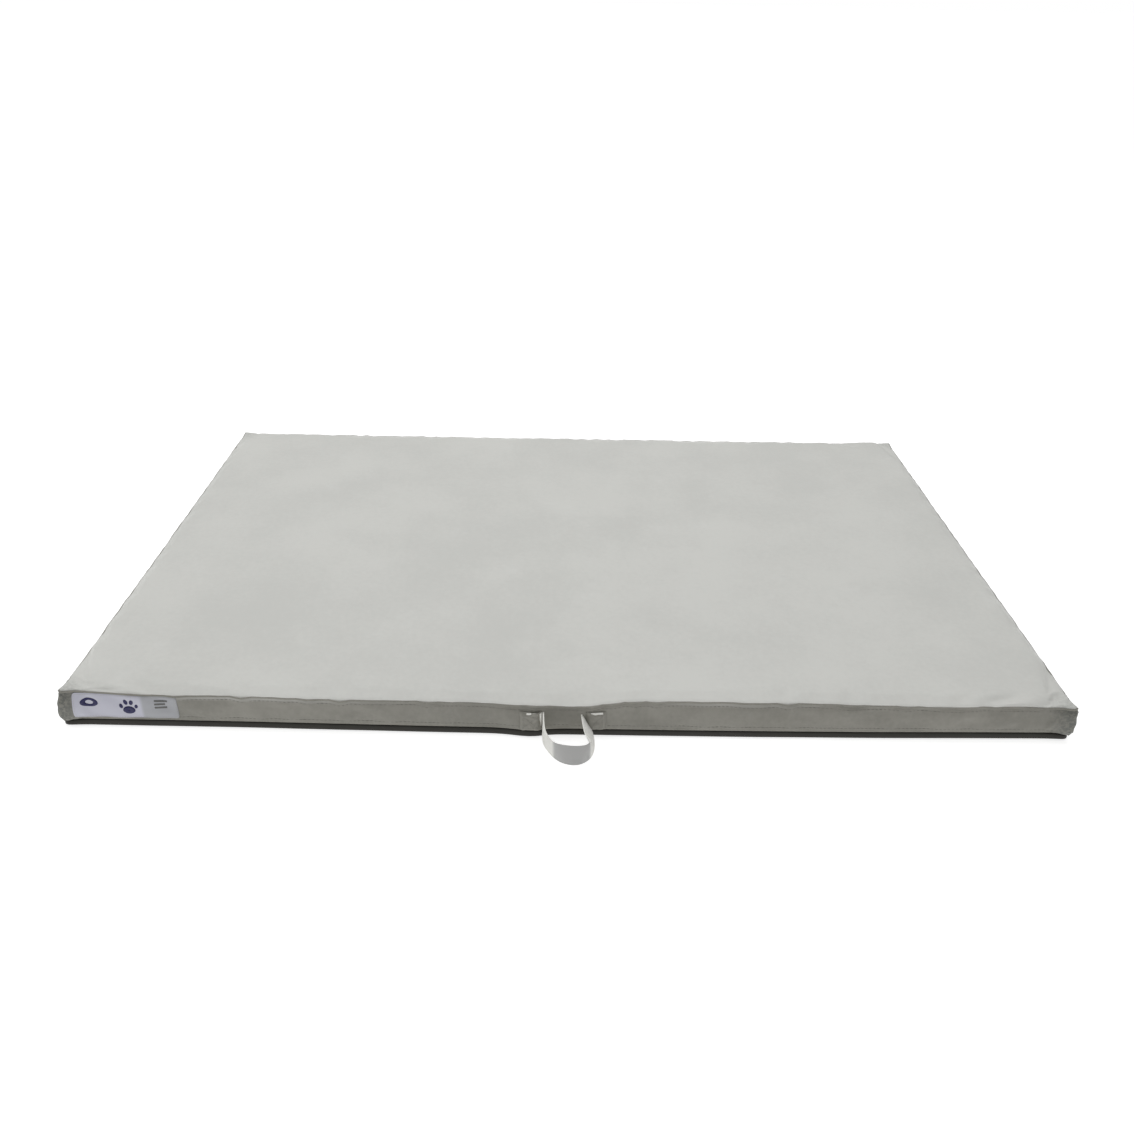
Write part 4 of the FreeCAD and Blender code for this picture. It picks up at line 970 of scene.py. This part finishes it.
# ---------------------------------------------------------------- reading the finished cover's surface
def cover_surface(pieces):
    """One tree for ray casts against every sheet of the cover, as it is finished."""
    graph = bpy.context.evaluated_depsgraph_get()
    points, faces = [], []
    for piece in pieces.values():
        mesh = piece.evaluated_get(graph).to_mesh()
        first = len(points)
        points += [v.co.copy() for v in mesh.vertices]
        faces += [[first + n for n in face.vertices] for face in mesh.polygons]
    return BVHTree.FromPolygons(points, faces)


def front_y(surface, x, z):
    """Where the front of the cover is, at a place across and up."""
    z = min(max(z, HEM_EDGE + 3 * MM), TOP - 6.5 * MM)
    hit = surface.ray_cast(Vector((x, FACE - 0.1, z)), Vector((0, 1, 0)))[0]
    return hit.y if hit else FACE


def band_spot(surface, seam, flat, below, proud):
    """A place on the side band, a little below the seam."""
    outward = rim_normal(*flat)
    way = Vector((outward.x, outward.y, 0))
    start = Vector((seam.x, seam.y, seam.z - below)) + way * 0.05
    hit = surface.ray_cast(start, -way)[0]
    return (hit if hit else start - way * 0.05) + way * proud


# ---------------------------------------------------------------- rings round the pad
def outline(inset, corner=CORNER, step=8 * MM):
    """Points of the platform's outline, drawn in by an inset, with the outward direction at each."""
    radius = max(corner - inset, 1 * MM)
    x_in, y_in = HALF_LENGTH - inset - radius, HALF_DEPTH - inset - radius
    turns = 10
    ring = []
    for quarter, (sx, sy) in enumerate(((1, -1), (1, 1), (-1, 1), (-1, -1))):
        start = math.radians(90 * (quarter - 1))
        for n in range(turns + 1):
            angle = start + math.radians(90) * n / turns
            way = Vector((math.cos(angle), math.sin(angle)))
            ring.append((Vector((sx * x_in, sy * y_in)) + way * radius, way))
        next_x, next_y = ((1, 1), (-1, 1), (-1, -1), (1, -1))[quarter]
        goal = Vector((next_x * x_in, next_y * y_in)) + way * radius
        here = ring[-1][0]
        count = max(2, round((goal - here).length / step))
        ring += [(here.lerp(goal, n / count), way.copy()) for n in range(1, count)]
    return ring


def sweep_ring(name, section, body, finish, wave=None, corner=CORNER):
    """A closed section, given as (inset, height) pairs, carried round the outline."""
    ring = outline(0, corner)
    points = []
    for inset, z in section:
        for place, way in ring:
            spot = place - way * inset
            shift = wave(place, inset, z) if wave else Vector((0, 0, 0))
            points.append(Vector((spot.x, spot.y, z)) + shift)
    rows, columns = len(section), len(ring)
    faces = strip_faces(rows, columns, closed=True)
    last = (rows - 1) * columns
    faces += [(last + c, last + (c + 1) % columns, (c + 1) % columns, c) for c in range(columns)]
    piece = face_outwards(make_piece(name, points, faces, finish))
    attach(piece, body)
    return piece


def rounded_section(inset, width, low, height, radius, steps=3):
    """A rounded rectangle as (inset, height) pairs."""
    near, far = inset + radius, inset + width - radius
    under, over = low + radius, low + height - radius
    pairs = []
    for x, z, start in ((near, under, 180), (far, under, 270), (far, over, 0), (near, over, 90)):
        for n in range(steps + 1):
            angle = math.radians(start + 90 * n / steps)
            pairs.append((x + radius * math.cos(angle), z + radius * math.sin(angle)))
    return pairs


# At a front corner the trim goes out to the cover's corner, and drops below the cloth that hangs there.
TRIM_OUT_LEFT, TRIM_OUT_RIGHT = 7.0 * MM, 5.2 * MM
TRIM_DROP, TRIM_CORNER_DROP = 0.45 * MM, 1.7 * MM


def trim_wave(place, inset, z):
    """The soft edging follows the cover where its front gives way; its clip on the tray stays put."""
    if inset > TRIM_INSET + 1.2 * MM or place.y > -HALF_DEPTH + CORNER:
        return Vector((0, 0, 0))
    forward = skirt_wave(place.x) + 0.4 * MM * noise.noise(Vector((place.x * 9, z * 60, 2)))
    share = corner_share(place.x, place.y) ** 2
    square = (TRIM_OUT_LEFT if place.x < 0 else TRIM_OUT_RIGHT) * share
    height = ease((z - TRIM_LOW.z) / (TRIM_HIGH.z - TRIM_LOW.z))
    drop = (TRIM_DROP + TRIM_CORNER_DROP * share) * height
    return Vector((math.copysign(square, place.x), -forward - 0.2 * square, -drop))


def build_edge_trim():
    """Soft black edging: a rounded outer lip, and a clip over the tray's upstand."""
    # Each row holds (inset, height) pairs in millimetres: up from the trim's foot, then down from its top.
    lip = ((2.0, 0.0), (-0.1, 0.0), (-0.9, 0.7), (-1.0, 2.5), (-0.7, 4.2))
    clip = ((-0.2, 2.0), (0.3, 0.6), (1.0, 0.0), (4.7, 0.0), (5.3, 0.5), (5.5, 3.2), (4.2, 3.2))
    clip += ((4.2, 1.2), (2.0, 1.2))
    section = [(TRIM_INSET + inset * MM, TRIM_LOW.z + up * MM) for inset, up in lip]
    section += [(TRIM_INSET + inset * MM, TRIM_HIGH.z - down * MM) for inset, down in clip]
    trim = sweep_ring("edge_trim", section, "base", "black_plastic", trim_wave)
    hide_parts("base_edge_trim")


def hem_wave(place, inset, z):
    """The fold's outer edge goes where the band's lower edge goes."""
    if inset > 6 * MM:
        return Vector((0, 0, 0))
    share = 1.0 if inset < 4 * MM else 0.6
    moved = pull_sides(place.x, place.y, 1.0) - place
    swell = 0.3 * MM * noise.noise(Vector((place.x * 13, place.y * 13, 1)))
    return Vector((moved.x, moved.y, swell - corner_hang(place.x, place.y))) * share


def build_hem():
    """The band's lower edge, turned under the deck frame and pressed on the hook tapes."""
    low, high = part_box("cover_hem")
    edge = HEM_EDGE + 0.35 * MM
    top = high.z - 0.15 * MM
    section = [(2.8 * MM, edge), (5 * MM, low.z), (12 * MM, low.z + 0.05 * MM), (21 * MM, low.z)]
    section += [(22.6 * MM, low.z + 0.4 * MM), (21 * MM, top), (12 * MM, top), (5 * MM, top)]
    section.append((3.1 * MM, edge + 0.9 * MM))
    hem = sweep_ring("cover_hem_fold", section, "deck", "cover_side_cloth", hem_wave, COVER_CORNER)
    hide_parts("cover_hem")


# ---------------------------------------------------------------- foam
FOAM_GAP = 5.0 * MM


def build_foam():
    """The comfort foam under the top sheet, cut with soft edges, and the border foam round the deck."""
    low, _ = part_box("foam_pad")
    ring = outline(FOAM_GAP)
    points = []
    for inset, drop in ((0.0, None), (0.0, 9 * MM), (0.6 * MM, 6.5 * MM), (2.6 * MM, 5.2 * MM)):
        for place, way in ring:
            spot = place - way * inset
            z = low.z + 0.2 * MM if drop is None else top_height(spot.x, spot.y) - drop
            points.append(Vector((spot.x, spot.y, z)))
    for share in (0.985, 0.95, 0.85, 0.6, 0.3):
        for place, way in ring:
            spot = (place - way * 2.6 * MM) * share
            points.append(Vector((spot.x, spot.y, top_height(spot.x, spot.y) - 5.0 * MM)))
    rows, columns = len(points) // len(ring), len(ring)
    faces = strip_faces(rows, columns, closed=True)
    points.append(Vector((0, 0, top_height(0, 0) - 5.0 * MM)))
    last = (rows - 1) * columns
    faces += [(last + c, last + (c + 1) % columns, len(points) - 1) for c in range(columns)]
    faces.append(tuple(reversed(range(columns))))
    block = face_outwards(make_piece("foam_block", points, faces, "foam"))
    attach(block, "deck")
    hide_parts("foam_pad")

    low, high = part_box("foam_border")
    section = rounded_section(FOAM_GAP, 4.8 * MM, low.z + 0.4 * MM, high.z - low.z - 0.8 * MM, 1.2 * MM)
    border = sweep_ring("foam_edge_strip", section, "deck", "foam")
    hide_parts("foam_border")


# ---------------------------------------------------------------- seams
def build_seams(surface):
    """A welt in the top seam, a row of stitches under it and another over the hem, all the way round."""
    spots = list(zip(seam_line, seam_plan))
    path = [band_spot(surface, seam, flat, 1.0 * MM, 0.15 * MM) for seam, flat in spots]
    slot = "cover_side_cloth"
    grow("top_seam_welt", [path], welt_tree(slot), "deck", slot, True, Thick=1.15 * MM)
    stitches = stitch_tree("side_thread")
    row = [band_spot(surface, seam, flat, 5.5 * MM, 0.05 * MM) for seam, flat in spots]
    grow("top_seam_stitches", [row], stitches, "deck", slot, True)
    row = [band_spot(surface, seam, flat, seam.z - HEM_EDGE - 5 * MM, 0.05 * MM) for seam, flat in spots]
    grow("hem_stitches", [row], stitches, "deck", slot, True)


# ---------------------------------------------------------------- label
def build_label(surface):
    """A film patch sewn to the front band, printed with a ring, a paw and plain bars."""
    columns, rows = 49, 15
    length, height = LABEL_HIGH.x - LABEL_LOW.x, LABEL_HIGH.z - LABEL_LOW.z
    points, uv = [], []
    for r in range(rows):
        for c in range(columns):
            u, v = c / (columns - 1), r / (rows - 1)
            round_off = 1.2 * MM if (r in (0, rows - 1) and c in (0, columns - 1)) else 0.0
            across = length * u + math.copysign(round_off, 0.5 - u)
            x, z = label_place(across, height * v + math.copysign(round_off, 0.5 - v))
            edge = min(u * length, (1 - u) * length, v * height, (1 - v) * height)
            lift = 0.45 * MM + 0.35 * MM * ease(edge / (3 * MM))
            points.append(Vector((x, front_y(surface, x, z) - lift, z)))
            uv.append((u * length, v * height))
    faces = strip_faces(rows, columns)
    label = thicken(subdivide(make_piece("label_patch", points, faces, "label_film", uv)), 0.5 * MM)
    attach(label, "deck")
    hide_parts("label")

    skin = cover_surface({"label": label})
    border = []
    inset = 1.8 * MM
    far, over = length - inset, height - inset
    corners = [(inset, inset), (far, inset), (far, over), (inset, over)]
    for (u1, v1), (u2, v2) in zip(corners, corners[1:] + corners[:1]):
        count = max(2, round(math.hypot(u2 - u1, v2 - v1) / (3 * MM)))
        for n in range(count):
            u, v = u1 + (u2 - u1) * n / count, v1 + (v2 - v1) * n / count
            border.append(label_spot(skin, u, v, 0.05 * MM))
    sizes = {"Pitch": 3.2 * MM, "Stitch": 2.3 * MM, "Thread": 0.22 * MM}
    grow("label_stitches", [border], stitch_tree("thread"), "deck", "label_film", True, **sizes)
    print_label(skin, length, height)


def label_place(u, v):
    """The label's own measures to a place across and up: its upper edge keeps close under the seam."""
    x = LABEL_LOW.x + u
    upper = top_height(x, -HALF_DEPTH) - 1.7 * MM
    share = v / (LABEL_HIGH.z - LABEL_LOW.z)
    return x, LABEL_LOW.z + (upper - LABEL_LOW.z) * share + 0.3 * MM * math.sin(u * 75)


def label_spot(skin, u, v, proud):
    x, z = label_place(u, v)
    return Vector((x, front_y(skin, x, z) - proud, z))


def oval(u, v, wide, tall, lean=0.0, hole=0.0, sides=28):
    """Outer and inner rings of a printed oval, in the label's own measures."""
    rings = []
    lean_cos, lean_sin = math.cos(lean), math.sin(lean)
    for share in (1.0, hole):
        ring = []
        for n in range(sides):
            a = math.tau * n / sides
            dx, dy = wide * share * math.cos(a), tall * share * math.sin(a)
            ring.append((u + dx * lean_cos - dy * lean_sin, v + dx * lean_sin + dy * lean_cos))
        rings.append(ring)
    return rings


def print_label(skin, length, height):
    """Printed shapes as thin films of ink, a hair above the label."""
    middle = height / 2
    paw = length * 0.53
    shapes = [oval(length * 0.155, middle + 4.6 * MM, 10.5 * MM, 6.0 * MM, hole=0.45)]
    shapes.append(oval(paw, middle - 4.2 * MM, 7.2 * MM, 5.6 * MM, hole=0.01))
    toes = ((-1, 9.0, 1.5, 2.5), (-1, 3.4, 6.8, 3.0), (1, 3.4, 6.8, 3.0), (1, 9.0, 1.5, 2.5))
    for side, out, up, size in toes:
        toe = (paw + side * out * MM, middle + up * MM, size * MM * 0.82, size * MM * 1.25)
        shapes.append(oval(*toe, -side * 0.3, 0.01, 18))
    film_of_ink("label_print", shapes, skin, "label_ink")
    bars = []
    for n, share in enumerate((0.125, 0.10, 0.115)):
        left, low = length * 0.785, middle + (8.6 - 4.6 * n) * MM
        right = left + length * share
        tall = 2.4 * MM
        outer = [(left, low), (right, low), (right, low + tall), (left, low + tall)]
        bars.append([outer, [((left + right) / 2, low + tall / 2)] * 4])
    film_of_ink("label_bars", bars, skin, "grey_ink")


def film_of_ink(name, shapes, skin, finish):
    points, faces = [], []
    for outer, inner in shapes:
        first, count = len(points), len(outer)
        rings = [outer, [((a + c) / 2, (b + d) / 2) for (a, b), (c, d) in zip(outer, inner)], inner]
        for ring in rings:
            points += [label_spot(skin, u, v, 0.12 * MM) for u, v in ring]
        for r in range(2):
            for c in range(count):
                one, two = first + r * count + c, first + r * count + (c + 1) % count
                faces.append((one, two, two + count, one + count))
    ink = face_front(make_piece(name, points, faces, finish))
    thicken(ink, 0.1 * MM)
    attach(ink, "deck")


def face_front(piece):
    """Turns every face of a thin print towards the front, and merges points that fall together."""
    work = bmesh.new()
    work.from_mesh(piece.data)
    bmesh.ops.remove_doubles(work, verts=work.verts, dist=0.02 * MM)
    for face in work.faces:
        if face.normal.y > 0:
            face.normal_flip()
    work.to_mesh(piece.data)
    work.free()
    return piece


# ---------------------------------------------------------------- pull loop
STRAP_THICK = 1.6 * MM
STRAP_WIDE = 23 * MM
BEND = 3.0 * MM
# The height at which the sewn ends are laid on the cover's face.
STRAP_LEVEL = 22 * MM
END_LOW = 10.5 * MM
# The loop in plan, in millimetres, from its left root round to its right one: upper edge and lower edge.
UPPER_EDGE = [
    (-31, -405), (-30.5, -420), (-29, -433), (-24.5, -444), (-17, -452.5), (-5, -455),
    (10, -455), (20, -454), (23.5, -449), (18.5, -437), (15.5, -421), (14, -405),
]
LOWER_EDGE = [
    (-30.5, -406), (-31.5, -420), (-30, -433), (-24, -443.5), (-16, -453.5), (-5, -461.5),
    (8, -463.5), (18, -458.5), (26, -449), (29.5, -436), (28.5, -420), (25, -406),
]
# The painted shade on the front of the loop starts here, and is full 4 mm further out.
LOOP_SHADE_FROM, LOOP_SHADE_FADE = -449.5 * MM, 4 * MM


def smooth_line(corners, steps=6):
    """Points on a soft curve through the corners."""
    line = []
    spots = [Vector(c) for c in corners]
    for n in range(len(spots) - 1):
        a, b = spots[n], spots[n + 1]
        before, after = spots[max(n - 1, 0)], spots[min(n + 2, len(spots) - 1)]
        for k in range(steps):
            t = k / steps
            way_a, way_b = (b - before) / 2, (after - a) / 2
            spot = a * (2 * t**3 - 3 * t**2 + 1) + way_a * (t**3 - 2 * t**2 + t)
            line.append(spot + b * (3 * t**2 - 2 * t**3) + way_b * (t**3 - t**2))
    return line + [spots[-1]]


def sewn_line(surface, x_from, x_to, steps=5):
    """A sewn end's line along the cover's face."""
    xs = [x_from + (x_to - x_from) * n / steps for n in range(steps + 1)]
    return [Vector((x, front_y(surface, x, STRAP_LEVEL) - 1.1 * MM)) for x in xs]


def build_pull_loop(surface):
    """One length of webbing: both ends sewn flat, and a loop that lies down to the floor and leans right."""
    upper = smooth_line([(x * MM, y * MM) for x, y in UPPER_EDGE])
    lower = smooth_line([(x * MM, y * MM) for x, y in LOWER_EDGE])
    left_end = sewn_line(surface, ENDS_LOW.x, upper[0].x - BEND)
    right_end = sewn_line(surface, lower[-1].x + BEND, ENDS_HIGH.x + 1 * MM)
    upper = left_end + upper + right_end
    lower = left_end + lower + right_end
    root, tip = FACE - 6 * MM, STRAP_LOW.y
    across = 9
    travelled, rows, held = 0.0, [], []
    for n, (high, low) in enumerate(zip(upper, lower)):
        if n:
            travelled += ((high + low) / 2 - (upper[n - 1] + lower[n - 1]) / 2).length
        share = ease((root - low.y) / (root - tip))
        z_low = END_LOW + (STRAP_LOW.z + 0.5 * MM - END_LOW) * share
        spread = high - low
        rise = math.sqrt(STRAP_WIDE**2 - spread.length_squared)
        row = []
        for k in range(across):
            v = k / (across - 1)
            cup = 0.7 * MM * math.sin(math.pi * v) * share
            place = low + spread * v
            row.append((Vector((place.x, place.y - cup, z_low + rise * v)), (travelled, v * STRAP_WIDE)))
        rows.append(row)
        # The held share carries the painted shade of the loop's front.
        held += [ease((LOOP_SHADE_FROM - (high.y + low.y) / 2) / LOOP_SHADE_FADE)] * across
    points = [p for row in rows for p, _ in row]
    uv = [t for row in rows for _, t in row]
    strap = make_piece("pull_loop_webbing", points, strip_faces(len(rows), across), "webbing", uv)
    paint(strap, "held", held)
    thick = strap.modifiers.new("thickness", "SOLIDIFY")
    thick.thickness = STRAP_THICK
    thick.offset = 0
    edge = strap.modifiers.new("edge", "BEVEL")
    edge.width = 0.45 * MM
    edge.segments = 2
    subdivide(strap)
    settled_mesh(strap)
    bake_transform(strap)
    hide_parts("handle_strap", "strap_ends")


def upper_root(end):
    return UPPER_EDGE[end][0] * MM


def build_anchor_patches(surface):
    """Cloth patches over the sewn ends, puckered by their stitching."""
    low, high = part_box("handle_patches")
    bottom = HEM_EDGE
    spans = ((low.x - 2.5 * MM, upper_root(0) - 2 * MM), (upper_root(-1) + 6 * MM, high.x - 1.5 * MM))
    points, faces = [], []
    columns, rows = 25, 25
    seams = []
    for left, right in spans:
        first = len(points)
        for r in range(rows):
            for c in range(columns):
                u, v = c / (columns - 1), r / (rows - 1)
                x = left + (right - left) * u
                hood = ease((x + 47 * MM) / (6 * MM)) if left < 0 else 0.0
                head = high.z + 1.0 * MM * hood
                z = bottom + (head - bottom) * v
                z += 0.5 * MM * math.sin(u * 7 + left * 90) * (v - 0.5)
                edge = min(u, 1 - u, 5 * v, 1 - v + 0.3 * hood) * (right - left)
                face = front_y(surface, x, z)
                over_strap = 2.6 * MM + max(0.0, face - front_y(surface, x, STRAP_LEVEL))
                puff = over_strap * ease(edge / (4.2 * MM)) ** 0.7 + 0.5 * MM
                crumple = 0.55 * MM * noise.noise(Vector((x * 260, z * 210, 5)))
                crumple *= 0.3 + ease(edge / (5 * MM))
                points.append(Vector((x, face - puff - crumple, z)))
        faces += [tuple(first + n for n in face) for face in strip_faces(rows, columns)]
        inset = 4.5 * MM
        feet, head = bottom + inset, high.z - inset
        box = ((left + inset, feet), (right - inset, feet), (right - inset, head), (left + inset, head))
        seams += [(box[a], box[b]) for a, b in ((0, 1), (1, 2), (2, 3), (3, 0), (0, 2), (1, 3))]
    patch = thicken(subdivide(make_piece("anchor_patches", points, faces, "cover_side_cloth")), 0.7 * MM)
    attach(patch, "deck")
    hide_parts("handle_patches")
    skin = cover_surface({"patch": patch})
    paths = []
    for (x1, z1), (x2, z2) in seams:
        spots = [(x1 + (x2 - x1) * n / 8, z1 + (z2 - z1) * n / 8) for n in range(9)]
        paths.append([Vector((x, front_y(skin, x, z) - 0.02 * MM, z)) for x, z in spots])
    tree = bpy.data.node_groups["stitches_side_thread"]
    sizes = {"Pitch": 2.6 * MM, "Stitch": 2.0 * MM, "Thread": 0.28 * MM}
    grow("anchor_stitches", paths, tree, "deck", "cover_side_cloth", **sizes)


# ---------------------------------------------------------------- run
add_camera()
add_studio()
finish_nodes()
build_foam()
cover, seam_line, seam_plan = build_cover()
build_edge_trim()
build_hem()
skin = cover_surface(cover)
build_seams(skin)
build_label(skin)
build_pull_loop(skin)
build_anchor_patches(skin)
